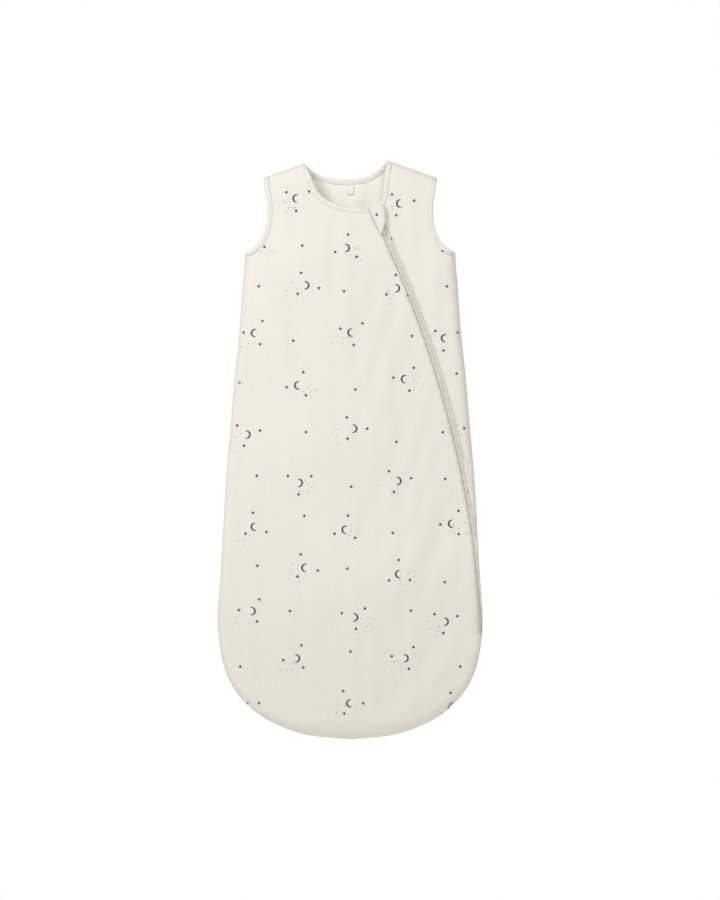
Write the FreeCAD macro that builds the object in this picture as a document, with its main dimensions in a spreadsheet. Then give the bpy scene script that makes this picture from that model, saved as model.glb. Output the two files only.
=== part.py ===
import FreeCAD, Part
import math
import os
from FreeCAD import Vector, Placement, Rotation

# Baby sleeping bag with a curved front zip, hung upright: +Z to the neck, the
# front faces -Y, +X is the wearer's left, and the foot centre is at Z = 0.
# Sizes are in millimetres. Every fabric ply, zip piece, binding and tab is its
# own piece. Outlines are drawn as (x, z) in the XZ plane.
doc = FreeCAD.newDocument("sleeping_bag")
sheet = doc.addObject("Spreadsheet::Sheet", "dims")
sheet.Label = "dims"
CELLS = [
    # bag and plies
    ("front_depth", 18.0), ("back_depth", 14.0), ("ply_outer", 0.8), ("ply_gap", 0.3),
    ("wadding_thick", 4.0), ("ply_lining", 0.8), ("seam_gap", 0.1), ("ridge_half", 15.0),
    ("fall_run", 135.0), ("fall_rise", 9.0), ("bag_height", 700.0),
    ("binding_width", 6.0), ("binding_clear", 6.3),
    # zip; depths are measured inwards (+Y) from the fabric face
    ("arc_x", -1173.424), ("arc_z", 53.962), ("arc_radius", 1323.69), ("zip_edge", 3.8),
    ("tape_inner", 0.75), ("tape_outer", 14.0), ("tape_front", 1.2), ("tape_thick", 0.4),
    ("coil_inner", 0.6), ("coil_outer", 2.2), ("coil_front", -0.4), ("coil_thick", 1.4),
    ("wadding_back_off", 15.0), ("placket_front", 3.6), ("placket_thick", 0.6),
    # slider; slider_lift and slider_back_gap lie in front of and behind the face
    ("slider_top_angle", 26.1), ("slider_travel", 15.6), ("slider_length", 13.0),
    ("slider_width", 9.2), ("slider_front_thick", 1.4), ("slider_back_thick", 1.0),
    ("slider_back_width", 7.1), ("slider_lift", 0.8), ("slider_back_gap", 2.0),
    ("slider_lap", 0.1), ("slider_wall", 0.8), ("wall_reach", 3.35), ("wall_depth", 1.7),
    ("wall_shorter", 3.0), ("post_width", 0.9), ("post_bottom", 3.4), ("post_length", 2.6),
    ("bail_height", 2.4), ("bail_width", 1.6), ("bail_length", 6.8), ("bail_foot", 1.2),
    ("bail_bar_thick", 1.0), ("pull_length", 16.0), ("pull_width", 5.2), ("pull_thick", 1.0),
    ("pin_radius", 0.35), ("pin_lift", 2.9), ("rail_width", 1.3), ("rail_length", 6.0),
    ("blade_drop", 5.5),
    # guard over the zip top, and label
    ("guard_lift", 5.1), ("guard_facing_thick", 0.5), ("guard_outer_thick", 0.6),
    ("guard_ply_gap", 0.2), ("guard_strip_lift", 4.6), ("guard_strip_thick", 4.3),
    ("label_width", 8.5), ("label_height", 10.0), ("label_thick", 0.8),
    # fold of the front corner, and half depth of the trimming shapes
    ("crease_gap", 0.25), ("reach", 70.0),
]
for row, (alias, value) in enumerate(CELLS, 1):
    sheet.set("A%d" % row, alias)
    sheet.set("B%d" % row, repr(value))
    sheet.setAlias("B%d" % row, alias)
doc.recompute()


def dim(alias):
    return float(sheet.get(alias))


# The front falls away from a narrow ridge to each side. The zip lies in the
# sloping plane on the wearer's left, so it is a true circle arc in one plane.
SLOPE = dim("fall_rise") / dim("fall_run")
SLOPE_ANGLE = math.degrees(math.atan(SLOPE))
ZIP_FRAME = Placement(Vector(dim("ridge_half"), -dim("front_depth"), 0),
                      Rotation(Vector(0, 0, 1), SLOPE_ANGLE))

# Half outline (x, z), from the shoulder corner round to the foot centre
SIDE = [
    (126.7, 671.1), (127.1, 589.0), (129.8, 550.4), (134.0, 492.5), (140.0, 434.5),
    (144.8, 376.6), (149.9, 318.6), (153.3, 260.7), (156.5, 202.8), (160.0, 154.5),
    (159.8, 132.8), (157.5, 111.0), (152.7, 88.1), (145.4, 70.0), (134.6, 53.1),
    (119.5, 37.4), (105.0, 26.6), (90.5, 18.7), (76.0, 12.7), (61.6, 7.8),
    (41.0, 3.6), (0.0, 0.0),
]
# Where the two shoulder lines meet
APEX = (-5.0, 714.6)
# Neck edges (x, z), from the wearer's right to left
NECK_FRONT = [
    (-56.5, 712.1), (-55.8, 696.4), (-51.2, 688.0), (-47.1, 678.3), (-42.8, 667.4),
    (-36.5, 657.6), (-28.2, 651.2), (-19.7, 646.8), (-9.4, 643.8), (4.1, 641.8),
    (19.1, 641.4), (29.9, 642.6), (36.7, 647.6), (39.6, 656.6), (41.2, 669.9),
    (42.7, 684.4), (45.6, 700.1), (49.2, 714.5),
]
NECK_BACK = [
    (-64.2, 710.9), (-55.8, 696.4), (-46.1, 688.0), (-34.0, 681.4), (-17.1, 677.6),
    (-0.2, 677.1), (14.2, 678.8), (26.3, 683.4), (36.0, 691.6), (45.6, 700.1),
    (52.9, 714.5),
]
# Left armhole edge (x, z), downwards; the right one is its mirror image
ARMHOLE = [
    (107.4, 694.0), (105.0, 678.3), (104.0, 671.1), (102.6, 663.9), (100.8, 655.4),
    (99.7, 647.0), (99.5, 638.5), (99.9, 628.8), (101.6, 619.2), (105.0, 608.9),
    (109.8, 600.7), (117.1, 594.1), (126.7, 588.4), (142.4, 583.0),
]
# Fold line of the opening front corner, from the neck edge down to the zip
CREASE_TOP = (-58.0, 706.0)
CREASE_END = (124.0, 345.0)


# ---- drawing and feature helpers ---------------------------------------------
def unit(start, end):
    dx, dz = end[0] - start[0], end[1] - start[1]
    length = math.hypot(dx, dz)
    return dx / length, dz / length


def offset_right(points, distance):
    """points moved to the right-hand side of their direction of travel"""
    moved = []
    for i, (x, z) in enumerate(points):
        dx, dz = unit(points[max(i - 1, 0)], points[min(i + 1, len(points) - 1)])
        moved.append((x + distance * dz, z - distance * dx))
    return moved


def spline(points):
    curve = Part.BSplineCurve()
    curve.interpolate([Vector(x, z, 0) for x, z in points])
    return curve


def chain(points):
    """straight lines from each point to the next"""
    return [Part.LineSegment(Vector(a[0], a[1], 0), Vector(b[0], b[1], 0))
            for a, b in zip(points, points[1:])]


def polygon(points):
    return chain(points + points[:1])


def new_body(name):
    body = doc.addObject("PartDesign::Body", name)
    body.Label = name
    return body


def sketch(body, name, role, curves, offset):
    """sketch on an origin plane; offset is a number or a sheet expression"""
    drawn = body.newObject("Sketcher::SketchObject", name)
    plane = [f for f in body.Origin.OriginFeatures if f.Role == role][0]
    drawn.AttachmentSupport = [(plane, "")]
    drawn.MapMode = "FlatFace"
    for curve in curves:
        drawn.addGeometry(curve, False)
    if isinstance(offset, str):
        drawn.setExpression(".AttachmentOffset.Base.z", offset)
    else:
        drawn.AttachmentOffset = Placement(Vector(0, 0, offset), Rotation())
    return drawn


def pad(body, name, profile, length):
    feature = body.newObject("PartDesign::Pad", name)
    feature.Profile = profile
    feature.setExpression("Length", length)


def plate(name, curves, front, thick, place=Placement()):
    """plate in the XZ plane; front = depth of its face on the -Y side,
    thick = its thickness behind that face; both are sheet expressions"""
    body = new_body(name)
    profile = sketch(body, name + "_sketch", "XZ_Plane", curves,
                     "-(%s) - (%s)" % (front, thick))
    pad(body, name + "_pad", profile, thick)
    body.Placement = place
    return body


def through(name, curves, place=Placement()):
    """trimming shape that reaches right through the bag"""
    return plate(name, curves, "-dims.reach", "2 * dims.reach", place)


def cut(name, base, *tools):
    tool = tools[0]
    if len(tools) > 1:
        tool = doc.addObject("Part::MultiFuse", name + "_tools")
        tool.Shapes = list(tools)
    result = doc.addObject("Part::Cut", name)
    result.Base = base
    result.Tool = tool
    return result


def common(name, *objects):
    result = doc.addObject("Part::MultiCommon", name)
    result.Shapes = list(objects)
    return result


def fuse(name, *objects):
    result = doc.addObject("Part::MultiFuse", name)
    result.Shapes = list(objects)
    result.Refine = True
    return result


PIECES = []


def piece(name, obj):
    """label an object and list it for export"""
    obj.Label = name
    PIECES.append((name, obj))


# ---- puffed envelopes: ruled lofts through inset outlines --------------------
# Rim section: (inset from the outline, depth from the seam plane)
RIM = {
    "front": [(0.0, 0.0), (1.5, 5.0), (5.0, 9.0), (12.0, 13.5), (27.0, 19.6)],
    "back": [(0.0, 0.0), (1.5, 4.5), (5.0, 8.5), (11.0, 11.8), (20.0, 14.0)],
}
ROOF_HALF_WIDTH = 200
ROOF_BACK_Y = 5
ROOF_BOTTOM_Z = -20


def crossing(line_a, line_b):
    (x1, y1), (x2, y2) = line_a
    (x3, y3), (x4, y4) = line_b
    den = (x1 - x2) * (y3 - y4) - (y1 - y2) * (x3 - x4)
    cross_a, cross_b = x1 * y2 - y1 * x2, x3 * y4 - y3 * x4
    return ((cross_a * (x3 - x4) - (x1 - x2) * cross_b) / den,
            (cross_a * (y3 - y4) - (y1 - y2) * cross_b) / den)


def rim_profile(half, inward):
    """rim section moved inwards, starting on the seam plane"""
    lines = []
    for a, b in zip(RIM[half], RIM[half][1:]):
        dx, dy = unit(a, b)
        lines.append(((a[0] + dy * inward, a[1] - dx * inward),
                      (b[0] + dy * inward, b[1] - dx * inward)))
    (x1, y1), (x2, y2) = lines[0]
    profile = [(x1 - y1 / (y2 - y1) * (x2 - x1), 0.0)]
    profile += [crossing(a, b) for a, b in zip(lines, lines[1:])]
    end = lines[-1][1]
    if half == "back":
        end = (end[0], dim("back_depth") - inward)
    return profile + [end]


def inset_corner(corner, inset, normal_a, normal_b):
    """meeting point of two edges moved inwards by their inward normals"""
    step = inset / (1 + normal_a[0] * normal_b[0] + normal_a[1] * normal_b[1])
    return (corner[0] + step * (normal_a[0] + normal_b[0]),
            corner[1] + step * (normal_a[1] + normal_b[1]))


def outline(inset):
    """closed outline moved inwards: two side splines and two shoulder lines"""
    left = offset_right(SIDE, inset)
    left[-1] = (0.0, SIDE[-1][1] + inset)
    right = [(-x, z) for x, z in left]
    shoulder_normals = []
    for sign, points in ((1, left), (-1, right)):
        corner = (sign * SIDE[0][0], SIDE[0][1])
        dx, dz = unit(corner, APEX)
        normal = (dz, -dx) if dx > 0 else (-dz, dx)
        points[0] = inset_corner(corner, inset, (-sign, 0.0), normal)
        shoulder_normals.append(normal)
    apex = inset_corner(APEX, inset, *shoulder_normals)
    return [spline(left), spline(right[::-1])] + chain([right[0], apex, left[0]])


def envelope(name, half, inward, start=0.0):
    """half of the bag moved inwards; start = distance from the seam plane"""
    body = new_body(name)
    side = 1 if half == "front" else -1
    sections = []
    for i, (inset, depth) in enumerate(rim_profile(half, inward)):
        sections.append(sketch(body, "%s_s%d" % (name, i), "XZ_Plane", outline(inset),
                               side * (depth if i else start)))
    loft = body.newObject("PartDesign::AdditiveLoft", name + "_loft")
    loft.Profile = sections[0]
    loft.Sections = [(section, [""]) for section in sections[1:]]
    loft.Ruled = True
    if half == "back":
        return body
    # the front is limited by roof planes that fall away from the ridge
    ridge_x = dim("ridge_half") + inward * math.tan(math.radians(SLOPE_ANGLE) / 2)
    ridge_y = -(dim("front_depth") - inward)
    wide = ROOF_HALF_WIDTH
    fall_y = ridge_y + SLOPE * (wide - ridge_x)
    roof = new_body(name + "_roof")
    profile = sketch(roof, name + "_roof_sketch", "XY_Plane", polygon([
        (-wide, ROOF_BACK_Y), (-wide, fall_y), (-ridge_x, ridge_y),
        (ridge_x, ridge_y), (wide, fall_y), (wide, ROOF_BACK_Y)]), ROOF_BOTTOM_Z)
    pad(roof, name + "_roof_pad", profile, "dims.bag_height + 60")
    return common(name + "_shape", body, roof)


# Depths of the ply faces below the outer surface
OUTER_IN = dim("ply_outer")
WADDING_OUT = OUTER_IN + dim("ply_gap")
WADDING_IN = WADDING_OUT + dim("wadding_thick")
LINING_OUT = WADDING_IN + dim("ply_gap")
LINING_IN = LINING_OUT + dim("ply_lining")
FACES = {"a": 0.0, "b": OUTER_IN, "c": WADDING_OUT, "e": WADDING_IN,
         "f": LINING_OUT, "g": LINING_IN}
# Outer and inner face of each ply
PLIES = {"outer": ("a", "b"), "wadding": ("c", "e"), "lining": ("f", "g")}

envelopes = {}
for half in ("front", "back"):
    for face, inward in FACES.items():
        envelopes[half, face] = envelope("env_%s_%s" % (half, face), half, inward,
                                         dim("seam_gap"))
# The binding shells start on the seam plane, so front and back join
rim_shells = {}
for half in ("front", "back"):
    rim_shells[half] = (envelope("rim_%s_out" % half, half, 0.0),
                        envelope("rim_%s_in" % half, half, LINING_IN))
doc.recompute()

# ---- trimming shapes --------------------------------------------------------
# Distances into the cloth: the opening's edge, the binding's inner edge, and
# the line where the plies stop
EDGE_OFFSETS = {"edge": 0, "in": dim("binding_width"), "clear": dim("binding_clear")}
ABOVE_Z = 760      # above the bag
BESIDE_X = 190     # beyond its sides


def neck_tool(name, points, offset):
    edge = offset_right(points, offset)
    corners = [edge[-1], (edge[-1][0], ABOVE_Z), (edge[0][0], ABOVE_Z), edge[0]]
    return through(name, [spline(edge)] + chain(corners))


def armhole_tool(name, offset, sign):
    edge = [(sign * x, z) for x, z in offset_right(ARMHOLE, offset)]
    beside = sign * BESIDE_X
    corners = [edge[-1], (beside, edge[-1][1]), (beside, ABOVE_Z),
               (edge[0][0], ABOVE_Z), edge[0]]
    return through(name, [spline(edge)] + chain(corners))


neck_front, neck_back, arm_left, arm_right = [
    {key: make(name + key, offset) for key, offset in EDGE_OFFSETS.items()}
    for name, make in (
        ("neck_front_", lambda name, offset: neck_tool(name, NECK_FRONT, offset)),
        ("neck_back_", lambda name, offset: neck_tool(name, NECK_BACK, offset)),
        ("arm_left_", lambda name, offset: armhole_tool(name, offset, 1)),
        ("arm_right_", lambda name, offset: armhole_tool(name, offset, -1)))]

ARC_X, ARC_Z, ARC_RADIUS = dim("arc_x"), dim("arc_z"), dim("arc_radius")
DEG_PER_MM = math.degrees(1.0 / ARC_RADIUS)      # along the zip arc


def on_arc(angle, radius):
    turn = math.radians(angle)
    return (ARC_X + radius * math.cos(turn), ARC_Z + radius * math.sin(turn))


def arc_curve(radius, low, high):
    circle = Part.Circle(Vector(ARC_X, ARC_Z, 0), Vector(0, 0, 1), radius)
    return Part.ArcOfCircle(circle, math.radians(low), math.radians(high))


# Region beside the zip: its arc overruns the bag at both ends
REGION_LOW, REGION_HIGH = -5.0, 34.0             # degrees
REGION_MARGIN = 60
REGION_FAR_X = {"main": -330.0, "far": 260.0}


def zip_regions(name, gap):
    """the two sides of the zip, each starting gap away from its centre line;
    main is the wearer's right of the zip, far is the left"""
    regions = []
    for side, sign in (("main", -1), ("far", 1)):
        radius, far_x = ARC_RADIUS + sign * gap, REGION_FAR_X[side]
        low, high = on_arc(REGION_LOW, radius), on_arc(REGION_HIGH, radius)
        corners = [high, (far_x, high[1] + REGION_MARGIN), (far_x, low[1] - REGION_MARGIN), low]
        curves = [arc_curve(radius, REGION_LOW, REGION_HIGH)] + chain(corners)
        regions.append(through("%s_%s_side" % (name, side), curves, ZIP_FRAME))
    return regions


zip_main, zip_far = zip_regions("zip", dim("zip_edge"))
wadding_main, wadding_far = zip_regions("wad", dim("wadding_back_off"))

CREASE_X, CREASE_Z = unit(CREASE_TOP, CREASE_END)
CROSS_X, CROSS_Z = -CREASE_Z, CREASE_X           # across the fold, towards the zip
FOLD_OVERRUN = 60
FOLD_REACH = 260


def fold_region(name, gap):
    """corner region that opens; gap moves its borders towards the zip and up"""
    end = (CREASE_END[0] + gap * CROSS_X - gap * CREASE_X,
           CREASE_END[1] + gap * CROSS_Z - gap * CREASE_Z)
    top = (CREASE_TOP[0] + gap * CROSS_X - FOLD_OVERRUN * CREASE_X,
           CREASE_TOP[1] + gap * CROSS_Z - FOLD_OVERRUN * CREASE_Z)
    far_end, far_top = [(x + FOLD_REACH * CROSS_X, z + FOLD_REACH * CROSS_Z)
                        for x, z in (end, top)]
    return through(name, polygon([top, end, far_end, far_top]))


fold_inside = fold_region("fold_inside", dim("crease_gap"))
fold_outside = fold_region("fold_outside", -dim("crease_gap"))
doc.recompute()

# ---- fabric plies -----------------------------------------------------------
for ply, (face_out, face_in) in PLIES.items():
    front = cut("front_%s_sheet" % ply, envelopes["front", face_out],
                envelopes["front", face_in])
    # the wadding stops further from the zip
    main, far = (wadding_main, wadding_far) if ply == "wadding" else (zip_main, zip_far)
    piece("front_main_" + ply,
          cut("front_main_%s_n" % ply, common("front_main_%s_c" % ply, front, main),
              neck_front["clear"], arm_left["clear"], arm_right["clear"], fold_outside))
    piece("front_flap_" + ply,
          cut("front_flap_%s_n" % ply,
              common("front_flap_%s_c" % ply, front, main, fold_inside),
              neck_front["clear"]))
    piece("front_side_" + ply,
          cut("front_side_%s_n" % ply, common("front_side_%s_c" % ply, front, far),
              neck_front["clear"], arm_left["clear"]))
    back = cut("back_%s_sheet" % ply, envelopes["back", face_out],
               envelopes["back", face_in])
    piece("back_" + ply, cut("back_%s_n" % ply, back, neck_back["clear"],
                             arm_left["clear"], arm_right["clear"]))

# ---- bindings of the armholes and the neck ----------------------------------
BINDING_ZIP_GAP = 5.6      # keeps the neck binding ends clear of the slider's path

rim_front = cut("rim_front", *rim_shells["front"])
rim_back = cut("rim_back", *rim_shells["back"])
rim_all = fuse("rim_all", rim_front, rim_back)
for side, tools in (("left", arm_left), ("right", arm_right)):
    name = "armhole_binding_" + side
    piece(name, cut(name + "_n", common("arm_%s_c" % side, rim_all, tools["in"]),
                    tools["edge"]))
neck_front_rim = cut("neck_front_rim", common("neck_front_c", rim_front, neck_front["in"]),
                     neck_front["edge"])
neck_back_rim = cut("neck_back_rim", common("neck_back_c", rim_back, neck_back["in"]),
                    neck_back["edge"])
binding_main, binding_far = zip_regions("bind", BINDING_ZIP_GAP)
neck_main = cut("neck_front_far", common("neck_main_c", neck_front_rim, binding_main),
                fold_outside)
neck_side = common("neck_side_c", neck_front_rim, binding_far)
piece("neck_binding", fuse("neck_binding_n", neck_back_rim, neck_main, neck_side))
piece("flap_neck_binding",
      common("flap_neck_binding_n", neck_front_rim, binding_main, fold_inside))

# ---- zip --------------------------------------------------------------------
# Angles in degrees along the arc, rising to the neck
SLIDER_ANGLE = dim("slider_top_angle")
BOTTOM_ANGLE = SLIDER_ANGLE - dim("slider_travel")
TAPE_LOW = BOTTOM_ANGLE - 42 * DEG_PER_MM
TAPE_HIGH = 30
COIL_LOW = BOTTOM_ANGLE - 9.0 * DEG_PER_MM
COIL_HIGH = SLIDER_ANGLE + 2.6 * DEG_PER_MM
TOP_STOP_LOW = SLIDER_ANGLE + 7.4 * DEG_PER_MM
TOP_STOP_HIGH = TOP_STOP_LOW + 2.2 * DEG_PER_MM
BOTTOM_STOP_LOW = COIL_LOW - 3.4 * DEG_PER_MM
BOTTOM_STOP_HIGH = COIL_LOW - 0.4 * DEG_PER_MM
# Distances from the zip's centre line
TOP_STOP_INNER, TOP_STOP_OUTER = 1.0, 3.3
BOTTOM_STOP_HALF = 2.6
PLACKET_INNER, PLACKET_OUTER = 0.6, 13.0
# Front face and thickness
TAPE_LAYER = ("dims.tape_front", "dims.tape_thick")
COIL_LAYER = ("dims.coil_front", "dims.coil_thick")
PLACKET_LAYER = ("dims.placket_front", "dims.placket_thick")


def band(name, start, end, low, high, layer):
    """strip along the arc; start and end are distances from the centre line"""
    inner, outer = ARC_RADIUS + start, ARC_RADIUS + end
    curves = (chain([on_arc(low, inner), on_arc(low, outer)])
              + [arc_curve(outer, low, high)]
              + chain([on_arc(high, outer), on_arc(high, inner)])
              + [arc_curve(inner, low, high)])
    return plate(name, curves, layer[0], layer[1], ZIP_FRAME)


# Tapes; the main one is split at the fold
under_outer = envelopes["front", "b"]
tape_main = band("tape_main_band", -dim("tape_outer"), -dim("tape_inner"),
                 TAPE_LOW, TAPE_HIGH, TAPE_LAYER)
tape_side = band("tape_side_band", dim("tape_inner"), dim("tape_outer"),
                 TAPE_LOW, TAPE_HIGH, TAPE_LAYER)
piece("zip_tape_main",
      cut("zip_tape_main_n", common("tape_main_c", tape_main, under_outer, fold_inside),
          neck_front["clear"]))
piece("zip_tape_main_foot",
      cut("zip_tape_main_foot_n", common("tape_main_f", tape_main, under_outer),
          fold_outside))
piece("zip_tape_side",
      cut("zip_tape_side_n", common("tape_side_c", tape_side, under_outer),
          neck_front["clear"]))

# Coils, split the same way
coil_main = band("coil_main_band", -dim("coil_outer"), -dim("coil_inner"),
                 COIL_LOW, COIL_HIGH, COIL_LAYER)
piece("zip_coil_main", common("zip_coil_main_n", coil_main, fold_inside))
piece("zip_coil_main_foot", cut("zip_coil_main_foot_n", coil_main, fold_outside))
piece("zip_coil_side", band("zip_coil_side_n", dim("coil_inner"), dim("coil_outer"),
                            COIL_LOW, COIL_HIGH, COIL_LAYER))

# Stops
for name, start, end, low, high in (
        ("zip_top_stop_main", -TOP_STOP_OUTER, -TOP_STOP_INNER, TOP_STOP_LOW, TOP_STOP_HIGH),
        ("zip_top_stop_side", TOP_STOP_INNER, TOP_STOP_OUTER, TOP_STOP_LOW, TOP_STOP_HIGH),
        ("zip_bottom_stop", -BOTTOM_STOP_HALF, BOTTOM_STOP_HALF,
         BOTTOM_STOP_LOW, BOTTOM_STOP_HIGH)):
    piece(name, band(name + "_n", start, end, low, high, COIL_LAYER))

# Placket behind the zip
placket = band("placket_band", PLACKET_INNER, PLACKET_OUTER, TAPE_LOW, TAPE_HIGH,
               PLACKET_LAYER)
piece("inner_zip_placket",
      cut("inner_zip_placket_n", common("placket_c", placket, under_outer),
          neck_front["clear"]))

# ---- slider, drawn across (X), inwards (Y) and up the zip (Z) ---------------
slider_x, slider_z = on_arc(SLIDER_ANGLE, ARC_RADIUS)
SLIDER_FRAME = ZIP_FRAME.multiply(
    Placement(Vector(slider_x, 0, slider_z), Rotation(Vector(0, 1, 0), -SLIDER_ANGLE)))
BAIL_SHIFT = -0.05         # gap between the bail and the front plate


def box(name, corner, size):
    """box from sheet expressions for its lowest corner and its size"""
    made = doc.addObject("Part::Box", name)
    for prop, expression in zip(("Length", "Width", "Height"), size):
        made.setExpression(prop, expression)
    for axis, expression in zip("xyz", corner):
        made.setExpression(".Placement.Base." + axis, expression)
    return made


def cross_rod(name, radius, length, start_x):
    """rod along X at the height of the pull's pin"""
    rod = doc.addObject("Part::Cylinder", name)
    rod.setExpression("Radius", radius)
    rod.setExpression("Height", length)
    rod.Placement = Placement(Vector(start_x, -dim("pin_lift"), 0),
                              Rotation(Vector(0, 1, 0), 90))
    return rod


# Body: two plates joined by side walls and a post that bite into them
PLATE_Z = "-dims.slider_length / 2"
LAP_Y = "-dims.slider_lift - dims.slider_lap"
WALL_SIZE = ("dims.slider_wall", "dims.wall_depth", "dims.slider_length - dims.wall_shorter")
slider = fuse(
    "slider_raw",
    box("slider_front",
        ("-dims.slider_width / 2", "-dims.slider_lift - dims.slider_front_thick", PLATE_Z),
        ("dims.slider_width", "dims.slider_front_thick", "dims.slider_length")),
    box("slider_back", ("-dims.slider_back_width / 2", "dims.slider_back_gap", PLATE_Z),
        ("dims.slider_back_width", "dims.slider_back_thick", "dims.slider_length")),
    box("slider_wall_l", ("-dims.wall_reach", LAP_Y, PLATE_Z), WALL_SIZE),
    box("slider_wall_r", ("dims.wall_reach - dims.slider_wall", LAP_Y, PLATE_Z), WALL_SIZE),
    box("slider_post", ("-dims.post_width / 2", LAP_Y, "dims.post_bottom"),
        ("dims.post_width", "dims.slider_lift + dims.slider_back_gap + 2 * dims.slider_lap",
         "dims.post_length")))
slider.Placement = SLIDER_FRAME
piece("slider_body", slider)

# Bail: two feet on the front plate and a bar across them
BAIL_X = "-dims.bail_width / 2"
BAIL_Y = "-dims.slider_lift - dims.slider_front_thick - dims.bail_height"
BAIL_Z = "-dims.bail_length / 2"
FOOT_SIZE = ("dims.bail_width", "dims.bail_height", "dims.bail_foot")
bail = fuse(
    "bail_n",
    box("bail_foot_a", (BAIL_X, BAIL_Y, "dims.bail_length / 2 - dims.bail_foot"), FOOT_SIZE),
    box("bail_foot_b", (BAIL_X, BAIL_Y, BAIL_Z), FOOT_SIZE),
    box("bail_bar", (BAIL_X, BAIL_Y, BAIL_Z),
        ("dims.bail_width", "dims.bail_bar_thick", "dims.bail_length")))
bail.Placement = SLIDER_FRAME.multiply(Placement(Vector(0, BAIL_SHIFT, 0), Rotation()))
piece("slider_bail", bail)

# Pull: a pin under the bail, two round-ended rails beside it and a flat blade
PULL_X = "-dims.pull_width / 2"
PULL_Y = "-dims.pin_lift - dims.pull_thick / 2"
PULL_HALF = dim("pull_width") / 2
pin = cross_rod("pull_pin", "dims.pin_radius", "dims.pull_width", -PULL_HALF)
rails = []
for i, (rail_x, start_x) in enumerate((
        (PULL_X, -PULL_HALF),
        ("dims.pull_width / 2 - dims.rail_width", PULL_HALF - dim("rail_width")))):
    rails.append(box("pull_rail_%d" % i, (rail_x, PULL_Y, "-dims.rail_length"),
                     ("dims.rail_width", "dims.pull_thick", "dims.rail_length")))
    rails.append(cross_rod("pull_rail_end_%d" % i, "dims.pull_thick / 2",
                           "dims.rail_width", start_x))
blade = box("pull_blade", (PULL_X, PULL_Y, "-dims.pull_length"),
            ("dims.pull_width", "dims.pull_thick", "dims.pull_length - dims.blade_drop"))
pull = fuse("pull_n", pin, blade, *rails)
pull.Placement = SLIDER_FRAME
piece("pull_tab", pull)

# ---- leaf-shaped guard over the top of the zip ------------------------------
# Its straight seam is a chord between two points beside the zip
GUARD_RADIUS = ARC_RADIUS - 5.7
GUARD_TOP = on_arc(SLIDER_ANGLE + 9.0 * DEG_PER_MM, GUARD_RADIUS)
GUARD_END = on_arc(SLIDER_ANGLE - 27.0 * DEG_PER_MM, GUARD_RADIUS)
GUARD_LENGTH = math.hypot(GUARD_END[0] - GUARD_TOP[0], GUARD_END[1] - GUARD_TOP[1])
SEAM_X, SEAM_Z = unit(GUARD_TOP, GUARD_END)
SEAM_INSET = 0.5           # at both ends of the seam
LEAF_START = 0.35          # leaf edge, across from the seam line
STRIP_HALF = 0.5
FACING_SCALE = 0.97        # width of the facing against the outer leaf
# Free edge: (down the seam, across towards the wearer's left)
LEAF = [(-1.4, 8.5), (-0.8, 15.2), (3.0, 17.3), (10.0, 16.3), (20.5, 12.8), (28.5, 7.6)]


def guard_point(down, across):
    return (GUARD_TOP[0] + down * SEAM_X - across * SEAM_Z,
            GUARD_TOP[1] + down * SEAM_Z + across * SEAM_X)


def leaf(name, scale, front, thick):
    edge = [guard_point(SEAM_INSET, LEAF_START)]
    edge += [guard_point(down, across * scale) for down, across in LEAF]
    edge.append(guard_point(GUARD_LENGTH - SEAM_INSET, LEAF_START))
    return plate(name, [spline(edge)] + chain([edge[-1], edge[0]]), front, thick, ZIP_FRAME)


FACING_FRONT = "-dims.guard_lift - dims.guard_facing_thick"
piece("zip_guard_facing",
      leaf("zip_guard_facing_n", FACING_SCALE, FACING_FRONT, "dims.guard_facing_thick"))
piece("zip_guard_outer",
      leaf("zip_guard_outer_n", 1.0,
           FACING_FRONT + " - dims.guard_ply_gap - dims.guard_outer_thick",
           "dims.guard_outer_thick"))
strip = [guard_point(SEAM_INSET, -STRIP_HALF),
         guard_point(GUARD_LENGTH - SEAM_INSET, -STRIP_HALF),
         guard_point(GUARD_LENGTH - SEAM_INSET, STRIP_HALF),
         guard_point(SEAM_INSET, STRIP_HALF)]
piece("zip_guard_seam_strip",
      plate("zip_guard_seam_strip_n", polygon(strip), "-dims.guard_strip_lift",
            "dims.guard_strip_thick", ZIP_FRAME))

# ---- blank label just in front of the back lining, below the neck -----------
LABEL_BOTTOM = 659.6
LABEL_GAP = 0.4
label_half = dim("label_width") / 2
label_top = LABEL_BOTTOM + dim("label_height")
label = new_body("size_label_n")
label_sketch = sketch(label, "size_label_sketch", "XZ_Plane", polygon([
    (-label_half, LABEL_BOTTOM), (label_half, LABEL_BOTTOM),
    (label_half, label_top), (-label_half, label_top)]),
    -(dim("back_depth") - LINING_IN - LABEL_GAP))
pad(label, "size_label_pad", label_sketch, "dims.label_thick")
piece("size_label", label)

doc.recompute()

# ---- state check and export -------------------------------------------------
bad = [o.Label for o in doc.Objects if "Invalid" in o.State or "Error" in o.State]
for name, obj in PIECES:
    shape = obj.Shape
    if shape.isNull() or not shape.isValid() or not shape.Solids:
        bad.append(name)
if bad:
    raise RuntimeError("failed objects: %s" % ", ".join(bad))
os.makedirs("parts", exist_ok=True)
for name, obj in PIECES:
    obj.Shape.exportStep("parts/%s.step" % name)
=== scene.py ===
"""Sleeveless padded sleeping bag in cream jersey with a curved zip and a moon-and-star print.

It stands upright: foot at z = 0, front towards -Y, the seam between front and back in the
plane y = 0. +X is the left of the piece names. Lengths are in mm unless said otherwise;
"plan" points are (x, z). The zip runs on an arc from the neck to the lower left side.
"""
import math
from collections import Counter

import bmesh
import bpy
import numpy as np
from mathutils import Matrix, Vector
from mathutils.bvhtree import BVHTree
from mathutils.geometry import delaunay_2d_cdt


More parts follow.
